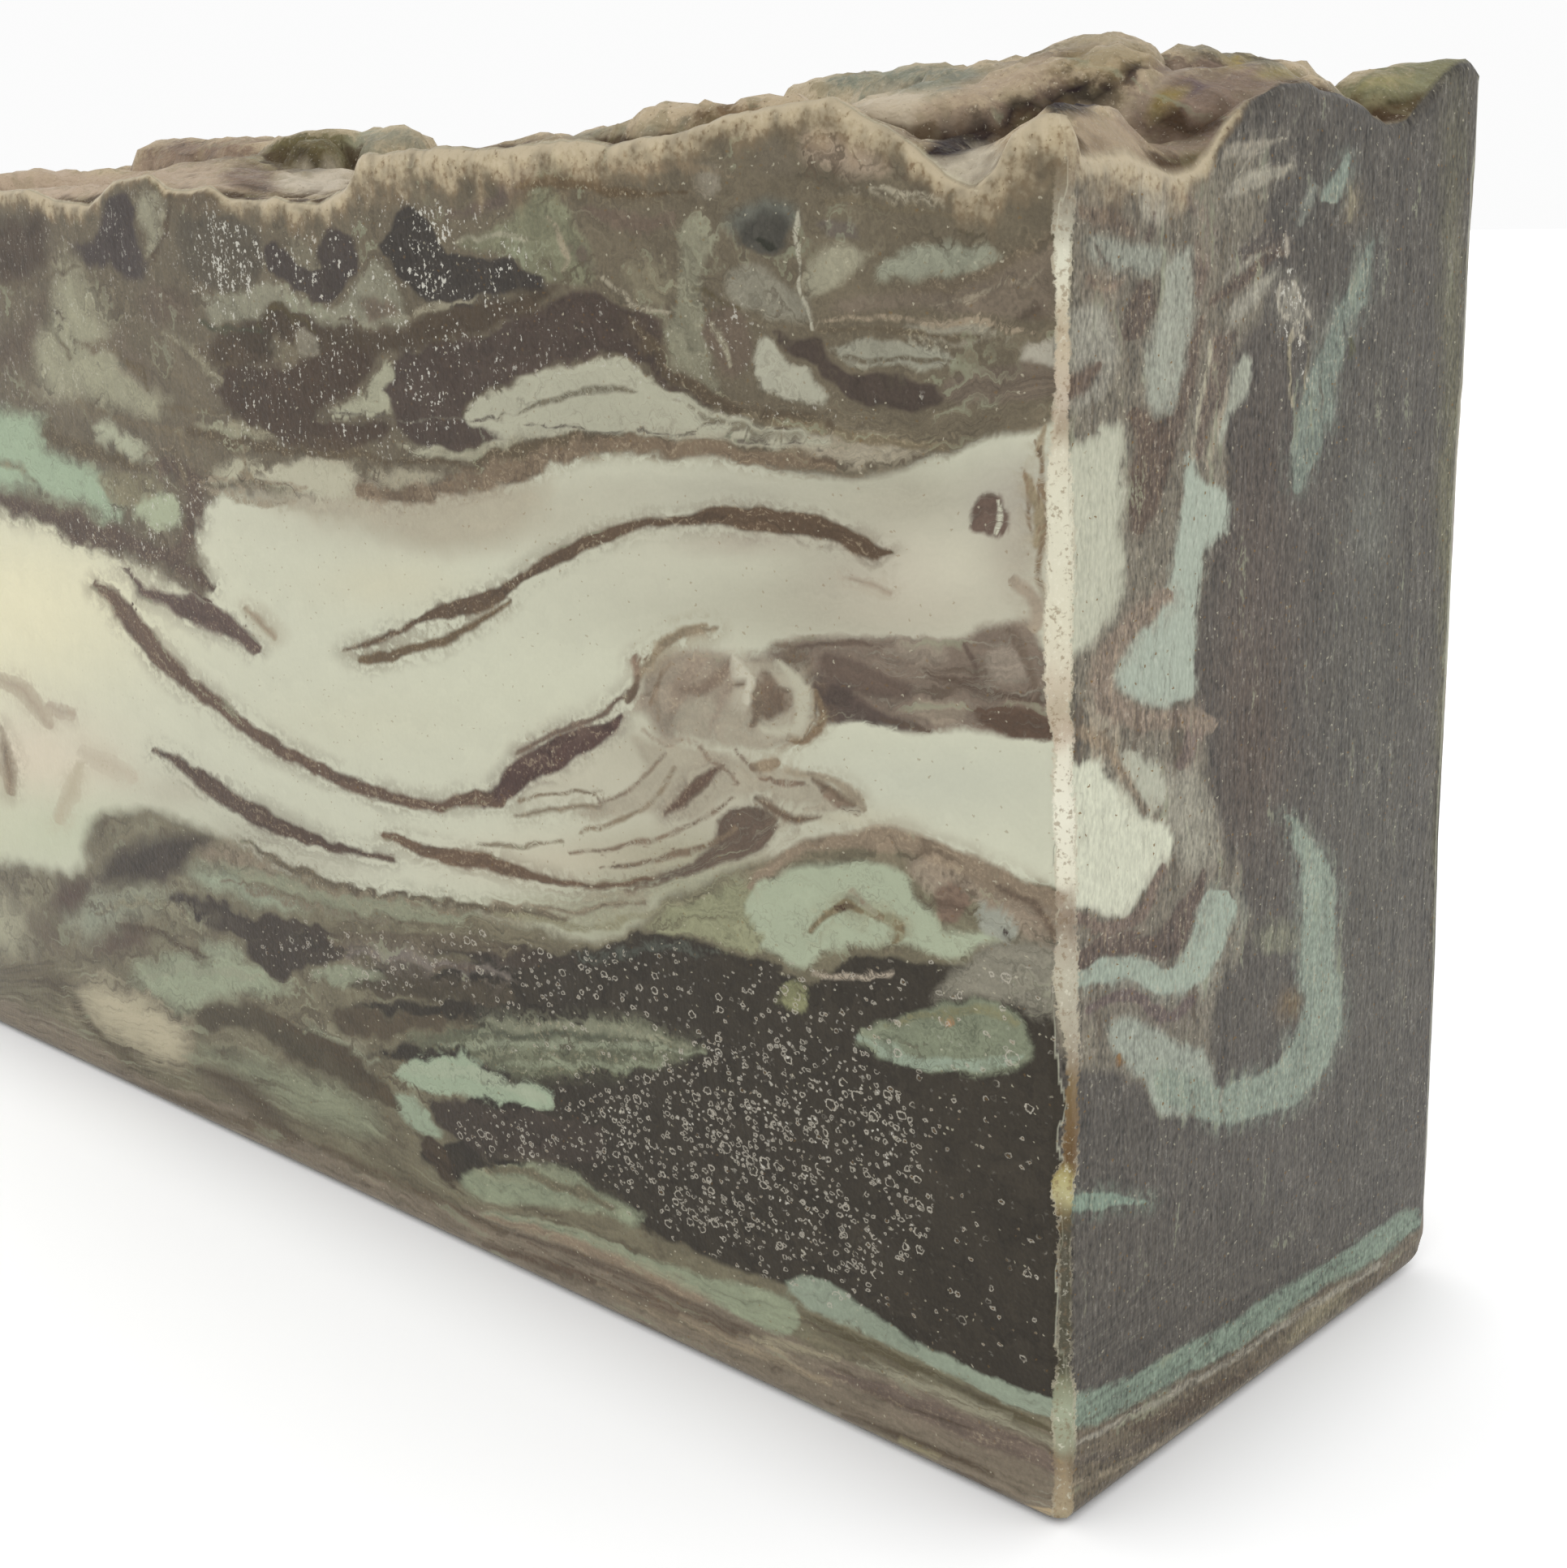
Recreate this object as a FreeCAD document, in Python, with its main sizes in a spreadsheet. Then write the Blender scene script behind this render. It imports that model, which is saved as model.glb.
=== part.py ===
import FreeCAD, Part
import math
import os
from FreeCAD import Vector, Placement, Rotation

# A bar of hand-cut soap, millimetres, in one frame: +Z up, +X along the length,
# +Y from the wide cut face (y = -15) to the back, origin under the middle of the base.
# The bar is one cast and cut piece: a block with a stirred, lumpy top.

doc = FreeCAD.newDocument("SoapBar")

# ---------------------------------------------------------------- dimensions
dims = doc.addObject("Spreadsheet::Sheet", "Dims")
table = [
    ("bar_length", "95"),
    ("bar_thickness", "30"),
    ("blank_height", "64"),
    ("corner_flat", "1.0"),
    ("back_round", "2.6"),
    ("foot_round", "0.7"),
    ("tool_rise", "20"),
]
for row, (alias, value) in enumerate(table, start=1):
    dims.set("A%d" % row, alias)
    dims.set("B%d" % row, value)
    dims.setAlias("B%d" % row, alias)
doc.recompute()
LENGTH = float(dims.get("bar_length"))
THICK = float(dims.get("bar_thickness"))

# ---------------------------------------------------------------- cut block
body = doc.addObject("PartDesign::Body", "Block")
body.Label = "cut_block"


def plane(role):
    for item in body.Origin.OriginFeatures:
        if item.Role == role:
            return item
    raise RuntimeError("no plane " + role)


plan = body.newObject("Sketcher::SketchObject", "BarPlan")
plan.AttachmentSupport = [(plane("XY_Plane"), "")]
plan.MapMode = "FlatFace"
hx, hy = LENGTH / 2.0, THICK / 2.0
corners = [Vector(-hx, -hy, 0), Vector(hx, -hy, 0), Vector(hx, hy, 0), Vector(-hx, hy, 0)]
import Sketcher
for i in range(4):
    plan.addGeometry(Part.LineSegment(corners[i], corners[(i + 1) % 4]), False)
for i in range(4):
    plan.addConstraint(Sketcher.Constraint("Coincident", i, 2, (i + 1) % 4, 1))
plan.addConstraint(Sketcher.Constraint("Horizontal", 0))
plan.addConstraint(Sketcher.Constraint("Horizontal", 2))
plan.addConstraint(Sketcher.Constraint("Vertical", 1))
plan.addConstraint(Sketcher.Constraint("Vertical", 3))
plan.addConstraint(Sketcher.Constraint("Symmetric", 0, 1, 2, 1, -1, 1))
c_len = plan.addConstraint(Sketcher.Constraint("DistanceX", 0, 1, 0, 2, LENGTH))
plan.renameConstraint(c_len, "plan_length")
c_thk = plan.addConstraint(Sketcher.Constraint("DistanceY", 1, 1, 1, 2, THICK))
plan.renameConstraint(c_thk, "plan_thickness")
plan.setExpression("Constraints.plan_length", "Dims.bar_length")
plan.setExpression("Constraints.plan_thickness", "Dims.bar_thickness")

pad = body.newObject("PartDesign::Pad", "BlockPad")
pad.Profile = plan
pad.setExpression("Length", "Dims.blank_height")
doc.recompute()


def edges_at(shape, test):
    names = []
    for n, e in enumerate(shape.Edges, start=1):
        if test(e.BoundBox):
            names.append("Edge%d" % n)
    return names


# the back long edge of the base is the moulded, well rounded one
back = body.newObject("PartDesign::Fillet", "BackRound")
back.Base = (pad, edges_at(pad.Shape, lambda b: b.YMin > hy - 0.01 and b.ZMax < 0.01 and b.XLength > 1))
back.setExpression("Radius", "Dims.back_round")
doc.recompute()

# a narrow flat runs up the near upright edge
flat = body.newObject("PartDesign::Chamfer", "CornerFlat")
flat.Base = (back, edges_at(back.Shape, lambda b: b.XMin > hx - 0.01 and b.YMax < -hy + 0.01 and b.ZLength > 1))
flat.setExpression("Size", "Dims.corner_flat")
doc.recompute()

# the front foot edge is only just softened
foot = body.newObject("PartDesign::Fillet", "FootRound")
foot.Base = (flat, edges_at(flat.Shape, lambda b: b.ZMax < 0.01 and b.YMax < -hy + 0.01 and b.XLength > 5))
foot.setExpression("Radius", "Dims.foot_round")
doc.recompute()

# ---------------------------------------------------------------- stirred top
# heights of the four rims: (distance along the rim, height)
RIM_FRONT = [
    (-47.5, 53.0), (-45, 53.6), (-42, 54.3), (-38.5, 53.7), (-35, 54.4), (-31.5, 54.9), (-29, 54.4),
    (-26.6, 54.1), (-24.1, 54.3), (-21.1, 53.4), (-17.6, 53.2), (-14.7, 54.4), (-11.1, 54.7), (-9.8, 53.9),
    (-7.8, 53.7), (-5.7, 54.0), (-3.9, 53.2), (-0.1, 53.2), (3.5, 52.7), (6.0, 53.5), (7.3, 55.0),
    (9.5, 55.0), (12.7, 55.1), (15.7, 54.9), (18.2, 54.9), (20.6, 55.0), (22.3, 55.1), (24.5, 54.8),
    (26.5, 55.0), (28.6, 55.1), (31.1, 55.6), (33.4, 55.9), (35.3, 56.1), (36.8, 56.1), (37.8, 55.6),
    (39.2, 55.0), (40.9, 54.1), (42.2, 53.0), (43.4, 52.6), (44.4, 53.2), (45.2, 54.4), (46.2, 54.9),
    (47.5, 55.1),
]
RIM_END = [
    (-15, 55.1), (-14.4, 54.8), (-13.8, 53.6), (-12.7, 53.5), (-10.9, 53.6), (-9.4, 53.1), (-7.8, 52.7),
    (-6.5, 53.0), (-5.6, 53.6), (-4.5, 54.6), (-3.0, 55.5), (-0.6, 56.1), (1.4, 56.1), (3.7, 55.7),
    (5.5, 55.3), (7.7, 54.5), (9.2, 54.7), (10.8, 55.6), (12.0, 56.5), (13.2, 57.1), (14.2, 57.1),
    (15, 56.6),
]
RIM_BACK = [
    (-47.5, 54.0), (-44, 54.7), (-40, 54.2), (-36, 54.9), (-31, 55.5), (-27, 55.0), (-22, 55.2),
    (-17, 54.6), (-12, 54.9), (-6, 54.4), (-1, 54.9), (4, 55.4), (8, 56.0), (12, 57.0),
    (18, 57.4), (22, 56.8), (26, 56.0), (30, 56.2), (34, 56.9), (39, 56.8), (42, 55.6),
    (44, 55.6), (45.5, 56.6), (46.6, 57.0), (47.5, 56.6),
]
RIM_LEFT = [
    (-15, 53.0), (-12, 53.6), (-9, 54.6), (-5, 54.9), (-2, 54.0), (1, 53.5), (4, 54.4),
    (8, 55.3), (11, 54.9), (15, 54.2),
]
# rolls of stirred soap: x0, y0, x1, y1, radius at each end, crest height at each end, flatness
ROLLS = [
    (35.0, -13.0, 41.6, -4.0, 1.5, 2.4, 55.4, 57.6, .75),
    (33.4, -8.5, 39.4, -1.6, 2.2, 2.8, 56.9, 58.7, .5),
    (40.6, 3.0, 42.8, 5.4, 2.0, 2.2, 57.9, 57.9, .6),
    (40.2, -12.4, 43.8, -6.0, 1.0, 1.2, 54.0, 55.6, .8),
    (46.8, -14.6, 45.4, -9.5, 1.5, 1.7, 55.1, 54.6, .9),
    (43.8, -3.6, 45.3, 1.0, 2.0, 2.4, 56.6, 56.9, .8),
    (35.8, 9.0, 40.6, 9.4, 2.6, 2.4, 58.0, 57.6, .6),
    (43.4, 2.6, 45.4, 4.6, 1.6, 1.8, 56.6, 56.2, .8),
    (44.9, 10.8, 46.6, 13.4, 2.2, 2.4, 56.8, 57.4, .7),
    (11.6, 11.9, 20.6, 11.2, 1.9, 2.3, 58.5, 58.7, .5),
    (23.6, 8.6, 27.5, 8.8, 1.9, 2.0, 58.0, 58.2, .5),
    (30.5, -12.6, 34.0, -6.0, 2.2, 2.6, 55.4, 55.9, .6),
    (24.0, -11.2, 29.4, -9.6, 1.5, 2.0, 56.0, 56.7, .8),
    (17.4, -11.0, 22.0, -10.4, 1.2, 1.5, 55.3, 55.9, .8),
    (-12.8, 0.6, -8.6, -0.1, 1.9, 1.9, 56.9, 56.6, .7),
    (-17.2, -2.6, -15.2, -2.4, 1.3, 1.5, 56.4, 56.6, .9),
    (-13.0, -3.6, -12.2, -3.2, 1.2, 1.4, 56.3, 56.3, .9),
    (-34.0, 1.0, -22.6, 0.6, 2.4, 2.6, 56.8, 56.6, .5),
    (-16.5, -9.0, -12.0, -8.2, 1.8, 1.8, 54.7, 54.7, .9),
    (-43.0, -5.0, -39.5, 4.0, 2.4, 2.8, 55.5, 55.6, .6),
    (-31.0, 8.5, -24.0, 11.0, 2.8, 2.6, 56.3, 56.2, .6),
    (-28.0, -7.5, -22.0, -6.0, 1.8, 2.0, 55.1, 55.0, .8),
    (0.5, 8.0, 5.0, 11.0, 2.4, 2.6, 55.8, 56.2, .6),
    (26.0, 4.5, 32.0, 7.0, 2.6, 2.6, 56.9, 57.4, .6),
    (4.0, -5.0, 12.0, -1.5, 2.2, 2.6, 54.7, 55.4, .7),
    (15.0, 1.0, 22.5, -1.5, 2.2, 2.6, 55.6, 56.2, .6),
    (-20.0, 8.0, -13.0, 12.0, 2.4, 2.2, 55.7, 55.2, .7),
    (-44.0, 9.5, -38.0, 12.0, 2.4, 2.2, 55.4, 55.0, .7),
    (30.5, -2.5, 34.5, 2.0, 2.2, 2.4, 56.6, 57.4, .6),
    (-6.0, -9.5, 2.0, -8.0, 1.8, 1.6, 54.0, 53.8, .8),
    (27.0, 12.0, 33.5, 12.6, 2.0, 1.8, 57.0, 57.2, .7),
    (-3.0, 3.5, 3.5, 2.0, 2.0, 1.8, 55.0, 55.0, .7),
]
# hollows: x, y, half widths along x and y, depth
PITS = [
    (45.2, -6.4, 2.0, 2.3, 1.6), (41.6, -9.6, 1.0, 3.2, 1.2), (42.8, -12.4, 1.4, 1.8, .8),
    (45.8, 7.6, 1.1, 1.1, 1.1), (2.5, -12.2, 3.0, 1.6, .5), (-20.0, -11.5, 2.6, 1.6, .4),
    (27.5, -1.0, 3.2, 1.8, .9), (-20.0, 3.0, 1.4, 2.5, .8), (8.5, 6.5, 3.0, 2.0, .8),
    (-5.0, 6.5, 3.0, 2.2, .6), (-35.5, -9.0, 3.2, 2.0, .7), (-34.0, 6.5, 2.4, 1.6, .6),
]


def along(tab, t):
    if t <= tab[0][0]:
        return tab[0][1]
    for (t0, v0), (t1, v1) in zip(tab, tab[1:]):
        if t <= t1:
            return v0 + (v1 - v0) * (t - t0) / (t1 - t0)
    return tab[-1][1]


def clip(v, lo, hi):
    return max(lo, min(hi, v))


def soft_max(a, b, k=0.25):
    h = clip(0.5 + 0.5 * (a - b) / k, 0.0, 1.0)
    return b + (a - b) * h + k * h * (1 - h)


def fall(d, w):
    s = clip(1 - d / w, 0.0, 1.0)
    return s * s * (3 - 2 * s)


def plain_top(x, y):
    u = clip((y + 15) / 30.0, 0.0, 1.0)
    return (54.1 + 0.9 * u + 0.5 * math.sin(x * 0.21 + y * 0.13) + 0.35 * math.sin(x * 0.47 - y * 0.31 + 1.3)
            + 0.3 * math.sin(y * 0.52 + x * 0.11) + clip((x - 10) / 40.0, 0.0, 1.0) * 0.6)


def inner(x, y):
    h = plain_top(x, y)
    for x0, y0, x1, y1, r0, r1, z0, z1, fl in ROLLS:
        dx, dy = x1 - x0, y1 - y0
        t = clip(((x - x0) * dx + (y - y0) * dy) / (dx * dx + dy * dy + 1e-9), 0.0, 1.0)
        d = math.hypot(x - x0 - t * dx, y - y0 - t * dy)
        r = r0 + (r1 - r0) * t
        crest = z0 + (z1 - z0) * t
        if d < r:
            top = crest - r * fl * (1 - math.sqrt(1 - (d / r) ** 2))
        else:
            top = crest - r * fl - (d - r) * 3
        h = soft_max(top, h)
    for px, py, rx, ry, depth in PITS:
        h -= depth * math.exp(-(((x - px) / rx) ** 2 + ((y - py) / ry) ** 2) ** 1.5)
    return h


def height(x, y):
    x = clip(x, -LENGTH / 2, LENGTH / 2)
    y = clip(y, -THICK / 2, THICK / 2)
    h = inner(x, y)
    for tab, t, d, w in ((RIM_FRONT, x, y + THICK / 2, 3.4), (RIM_BACK, x, THICK / 2 - y, 3.0),
                         (RIM_END, y, LENGTH / 2 - x, 2.2), (RIM_LEFT, y, x + LENGTH / 2, 3.5)):
        k = fall(d, w)
        h = h * (1 - k) + along(tab, t) * k
    return h


# a cubic patch whose poles lie on that relief; it ends flush with the four sides
NX, NY = 95, 30
knots_x = [0.0] * 4 + [float(i) for i in range(1, NX)] + [float(NX)] * 4
knots_y = [0.0] * 4 + [float(i) for i in range(1, NY)] + [float(NY)] * 4
X0, Y0 = -LENGTH / 2, -THICK / 2
poles = []
for i in range(NX + 3):
    gx = X0 + sum(knots_x[i + 1:i + 4]) / 3.0 * LENGTH / NX
    line = []
    for j in range(NY + 3):
        gy = Y0 + sum(knots_y[j + 1:j + 4]) / 3.0 * THICK / NY
        line.append(Vector(gx, gy, height(gx, gy)))
    poles.append(line)
patch = Part.BSplineSurface()
patch.buildFromPolesMultsKnots(
    poles,
    [4] + [1] * (NX - 1) + [4], [4] + [1] * (NY - 1) + [4],
    [float(i) for i in range(NX + 1)], [float(j) for j in range(NY + 1)],
    False, False, 3, 3)

above = doc.addObject("Part::Feature", "AboveTop")
above.Shape = patch.toShape().extrude(Vector(0, 0, float(dims.get("tool_rise"))))
above.Placement = Placement(Vector(0, 0, 0), Rotation())
above.Label = "space_above_top"

bar = doc.addObject("Part::Cut", "SoapBarCut")
bar.Base = body
bar.Tool = above
bar.Label = "soap_bar"
bar.Placement = Placement(Vector(0, 0, 0), Rotation())
doc.recompute()

# ---------------------------------------------------------------- checks and files
for item in doc.Objects:
    bad = [s for s in item.State if s in ("Invalid", "Error")]
    if bad:
        raise RuntimeError("%s: %s" % (item.Name, bad))
shape = bar.Shape
if shape.isNull() or not shape.isValid() or len(shape.Solids) != 1:
    raise RuntimeError("soap_bar: shape is not one valid solid")

os.makedirs("parts", exist_ok=True)
for node in (bar,):
    node.Shape.exportStep("parts/%s.step" % node.Label)
box = shape.BoundBox
print("soap_bar: box %.3f..%.3f  %.3f..%.3f  %.3f..%.3f  volume %.1f  faces %d" % (
    box.XMin, box.XMax, box.YMin, box.YMax, box.ZMin, box.ZMax, shape.Volume, len(shape.Faces)))
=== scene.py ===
import bpy
import math
import numpy as np
from mathutils import Matrix


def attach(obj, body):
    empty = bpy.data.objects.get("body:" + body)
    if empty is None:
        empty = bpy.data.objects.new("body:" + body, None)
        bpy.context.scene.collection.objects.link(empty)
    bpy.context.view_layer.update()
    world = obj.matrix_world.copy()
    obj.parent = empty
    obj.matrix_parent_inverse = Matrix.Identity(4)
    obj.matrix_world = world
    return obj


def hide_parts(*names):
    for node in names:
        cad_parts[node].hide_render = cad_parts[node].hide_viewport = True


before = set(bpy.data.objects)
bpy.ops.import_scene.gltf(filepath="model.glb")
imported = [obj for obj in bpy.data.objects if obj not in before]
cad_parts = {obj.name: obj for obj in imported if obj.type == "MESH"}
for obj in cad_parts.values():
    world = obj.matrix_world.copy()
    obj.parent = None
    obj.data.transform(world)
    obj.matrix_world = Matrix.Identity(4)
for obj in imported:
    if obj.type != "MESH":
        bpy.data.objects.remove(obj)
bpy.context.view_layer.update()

# All shape numbers below are millimetres in the row frame: +Z up, the wide cut face at y = -15,
# the end face at x = +47.5, the base at z = 0.
LEN, THK = 95.0, 30.0
HX, HY = LEN / 2, THK / 2
FLAT = 0.52         # narrow flat up the near upright edge

# ------------------------------------------------------------------ camera of the photograph
CAM = np.array([93.837, -77.739, 52.843])
YAW, PITCH, ROLL, FOC = math.radians(43.985), math.radians(15.265), math.radians(-2.033), 2699.68
FWD = np.array([-math.sin(YAW) * math.cos(PITCH), math.cos(YAW) * math.cos(PITCH), -math.sin(PITCH)])
_R0 = np.array([math.cos(YAW), math.sin(YAW), 0.0])
_U0 = np.cross(_R0, FWD)
RIGHT = _R0 * math.cos(ROLL) + _U0 * math.sin(ROLL)
UP = -_R0 * math.sin(ROLL) + _U0 * math.cos(ROLL)


def to_picture(P):
    """Where points in millimetres fall in the 1931 x 1932 picture."""
    d = P - CAM
    w = d @ FWD
    return np.stack([965.5 + FOC * (d @ RIGHT) / w, 966.0 - FOC * (d @ UP) / w], 1)


# ------------------------------------------------------------------ small numeric helpers
def smooth(a, b, x):
    t = np.clip((x - a) / (b - a), 0, 1)
    return t * t * (3 - 2 * t)


def _hash(ix, iy, iz, seed):
    h = (ix.astype(np.int64) * 374761393 + iy.astype(np.int64) * 668265263 + iz.astype(np.int64) * 2147483647 % 1000003 * 97 + seed * 69069) & 0x7FFFFFFF
    h = (h ^ (h >> 13)) * 1274126177 & 0x7FFFFFFF
    h = h ^ (h >> 16)
    return (h & 0xFFFF) / 65535.0


def vnoise(x, y, z, seed=1):
    """Value noise, -1..1."""
    fx, fy, fz = np.floor(x), np.floor(y), np.floor(z)
    tx, ty, tz = x - fx, y - fy, z - fz
    tx, ty, tz = (t * t * t * (t * (t * 6 - 15) + 10) for t in (tx, ty, tz))
    out = 0
    for i in (0, 1):
        for j in (0, 1):
            for k in (0, 1):
                wgt = (tx if i else 1 - tx) * (ty if j else 1 - ty) * (tz if k else 1 - tz)
                out = out + wgt * _hash(fx + i, fy + j, fz + k, seed)
    return out * 2 - 1


def fbm(x, y, z, octaves=4, seed=1):
    out, a, s = 0, 1.0, 0
    for o in range(octaves):
        out = out + a * vnoise(x, y, z, seed + o)
        s += a
        x, y, z, a = x * 2.03, y * 2.03, z * 2.03, a * 0.5
    return out / s


# ------------------------------------------------------------------ relief of the stirred top
# rim heights: (distance along the rim, height)
RIM_FRONT = [
    (-47.5, 53.0), (-45, 53.6), (-42, 54.3), (-38.5, 53.7), (-35, 54.4), (-31.5, 54.9), (-29, 54.4),
    (-26.6, 54.1), (-24.1, 54.3), (-21.1, 53.4), (-17.6, 53.2), (-14.7, 54.4), (-11.1, 54.7), (-9.8, 53.9),
    (-7.8, 53.7), (-5.7, 54.0), (-3.9, 53.2), (-0.1, 53.2), (3.5, 52.7), (6.0, 53.5), (7.3, 55.0),
    (9.5, 55.0), (12.7, 55.1), (15.7, 54.9), (18.2, 54.9), (20.6, 55.0), (22.3, 55.1), (24.5, 54.8),
    (26.5, 55.0), (28.6, 55.1), (31.1, 55.6), (33.4, 55.9), (35.3, 56.1), (36.8, 56.1), (37.8, 55.6),
    (39.2, 55.0), (40.9, 54.1), (42.2, 53.0), (43.4, 52.6), (44.4, 53.2), (45.2, 54.4), (46.2, 54.9),
    (47.5, 55.1),
]
RIM_END = [
    (-15, 55.1), (-14.4, 54.8), (-13.8, 53.6), (-12.7, 53.5), (-10.9, 53.6), (-9.4, 53.1), (-7.8, 52.7),
    (-6.5, 53.0), (-5.6, 53.6), (-4.5, 54.6), (-3.0, 55.5), (-0.6, 56.1), (1.4, 56.1), (3.7, 55.7),
    (5.5, 55.3), (7.7, 54.5), (9.2, 54.7), (10.8, 55.6), (12.0, 56.5), (13.2, 57.1), (14.2, 57.1),
    (15, 56.6),
]
RIM_BACK = [
    (-47.5, 54.0), (-44, 54.7), (-40, 54.2), (-36, 54.9), (-31, 55.5), (-27, 55.0), (-22, 55.2),
    (-17, 54.6), (-12, 54.9), (-6, 54.4), (-1, 54.9), (4, 55.4), (8, 56.0), (12, 57.0),
    (18, 57.4), (22, 56.8), (26, 56.0), (30, 56.2), (34, 56.9), (39, 56.8), (42, 55.6),
    (44, 55.6), (45.5, 56.6), (46.6, 57.0), (47.5, 56.6),
]
RIM_LEFT = [
    (-15, 53.0), (-12, 53.6), (-9, 54.6), (-5, 54.9), (-2, 54.0), (1, 53.5), (4, 54.4),
    (8, 55.3), (11, 54.9), (15, 54.2),
]
# rolls of stirred soap: x0, y0, x1, y1, radius at each end, crest at each end, flatness
ROLLS = [
    (35.0, -13.0, 41.6, -4.0, 1.5, 2.4, 55.4, 57.6, .75),
    (33.4, -8.5, 39.4, -1.6, 2.2, 2.8, 56.1, 58.4, .5),
    (40.6, 3.0, 42.8, 5.4, 2.0, 2.2, 57.9, 57.35, .6),
    (40.2, -12.4, 43.8, -6.0, 1.0, 1.2, 53.6, 54.6, .8),
    (46.6, -14.8, 45.6, -11.5, 1.2, 1.1, 55.0, 54.2, .9),
    (43.8, -3.6, 45.3, 1.0, 2.0, 2.4, 56.6, 56.9, .8),
    (35.8, 9.0, 40.6, 9.4, 2.6, 2.4, 58.0, 57.3, .6),
    (43.4, 2.6, 45.4, 4.6, 1.6, 1.8, 56.6, 56.2, .8),
    (44.9, 10.8, 46.6, 13.4, 2.2, 2.4, 56.8, 57.4, .7),
    (11.6, 11.9, 20.6, 11.2, 1.9, 2.3, 58.3, 58.5, .5),
    (23.6, 8.6, 27.5, 8.8, 1.9, 2.0, 58.0, 58.2, .5),
    (30.5, -12.6, 34.0, -6.0, 2.2, 2.6, 55.4, 55.9, .6),
    (24.0, -11.2, 29.4, -9.6, 1.5, 2.0, 56.4, 56.35, .8),
    (17.4, -11.0, 22.0, -10.4, 1.2, 1.5, 55.3, 55.9, .8),
    (-12.8, 0.6, -8.6, -0.1, 1.9, 1.9, 56.9, 56.6, .7),
    (-17.2, -2.6, -15.2, -2.4, 1.3, 1.5, 56.5, 56.8, .9),
    (-14.8, -1.8, -13.0, -0.6, 1.2, 1.3, 56.9, 56.9, .8),
    (-13.0, -3.6, -12.2, -3.2, 1.2, 1.4, 56.3, 56.3, .9),
    (-34.0, 1.0, -22.6, 0.6, 2.4, 2.6, 57.1, 56.6, .5),
    (-16.5, -9.0, -12.0, -8.2, 1.8, 1.8, 54.7, 54.7, .9),
    (-43.0, -5.0, -39.5, 4.0, 2.4, 2.8, 55.5, 55.6, .6),
    (-31.0, 8.5, -24.0, 11.0, 2.8, 2.6, 56.3, 56.2, .6),
    (-28.0, -7.5, -22.0, -6.0, 1.8, 2.0, 55.1, 55.0, .8),
    (0.5, 8.0, 5.0, 11.0, 2.4, 2.6, 55.8, 56.2, .6),
    (26.0, 4.5, 32.0, 7.0, 2.6, 2.6, 56.9, 57.4, .6),
    (4.0, -5.0, 12.0, -1.5, 2.2, 2.6, 54.7, 55.4, .7),
    (15.0, 1.0, 22.5, -1.5, 2.2, 2.6, 55.6, 56.2, .6),
    (-20.0, 8.0, -13.0, 12.0, 2.4, 2.2, 55.7, 55.2, .7),
    (-44.0, 9.5, -38.0, 12.0, 2.4, 2.2, 55.4, 55.0, .7),
    (30.5, -2.5, 34.5, 2.0, 2.2, 2.4, 56.6, 57.4, .6),
    (-6.0, -9.5, 2.0, -8.0, 1.8, 1.6, 54.0, 53.8, .8),
    (27.0, 12.0, 33.5, 12.6, 2.0, 1.8, 57.0, 57.2, .7),
    (-3.0, 3.5, 3.5, 2.0, 2.0, 1.8, 55.0, 55.0, .7),
]
# hollows: x, y, half widths, depth
PITS = [
    (45.2, -6.4, 2.0, 2.3, 1.6), (41.6, -9.6, 1.0, 3.2, 1.2), (42.8, -12.4, 1.4, 1.8, .8),
    (45.8, 7.6, 1.1, 1.1, 1.1), (2.5, -12.2, 3.0, 1.6, .5), (-20.0, -11.5, 2.6, 1.6, .4),
    (27.5, -1.0, 3.2, 1.8, .9), (-20.0, 3.0, 1.4, 2.5, .8), (8.5, 6.5, 3.0, 2.0, .8),
    (-5.0, 6.5, 3.0, 2.2, .6), (-35.5, -9.0, 3.2, 2.0, .7), (-34.0, 6.5, 2.4, 1.6, .6),
]


def table(tab, t):
    a = np.array(tab)
    return np.interp(t, a[:, 0], a[:, 1])


def soft_max(a, b, k=0.2):
    h = np.clip(0.5 + 0.5 * (a - b) / k, 0, 1)
    return b + (a - b) * h + k * h * (1 - h)


def plain_top(x, y):
    u = np.clip((y + 15) / 30, 0, 1)
    return (54.1 + 0.9 * u + 0.5 * np.sin(x * 0.21 + y * 0.13) + 0.35 * np.sin(x * 0.47 - y * 0.31 + 1.3)
            + 0.3 * np.sin(y * 0.52 + x * 0.11) + np.clip((x - 10) / 40, 0, 1) * 0.6)


def inner_top(x, y):
    # the rolls wander a little, so no edge is a straight machine line
    wx = x + 0.55 * fbm(x * 0.45, y * 0.45, 0 * x + 3.1, 3, 11)
    wy = y + 0.55 * fbm(x * 0.45, y * 0.45, 0 * x + 7.7, 3, 23)
    h = plain_top(wx, wy)
    for x0, y0, x1, y1, r0, r1, z0, z1, fl in ROLLS:
        dx, dy = x1 - x0, y1 - y0
        t = np.clip(((wx - x0) * dx + (wy - y0) * dy) / (dx * dx + dy * dy + 1e-9), 0, 1)
        d = np.hypot(wx - x0 - t * dx, wy - y0 - t * dy)
        r = r0 + (r1 - r0) * t
        crest = z0 + (z1 - z0) * t
        s = np.clip(1 - (d / r) ** 2, 0, 1)
        top = np.where(d < r, crest - r * fl * (1 - np.sqrt(s)), crest - r * fl - (d - r) * 3)
        h = soft_max(top, h)
    for px, py, rx, ry, depth in PITS:
        h = h - depth * np.exp(-(((wx - px) / rx) ** 2 + ((wy - py) / ry) ** 2) ** 1.5)
    return h


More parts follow.
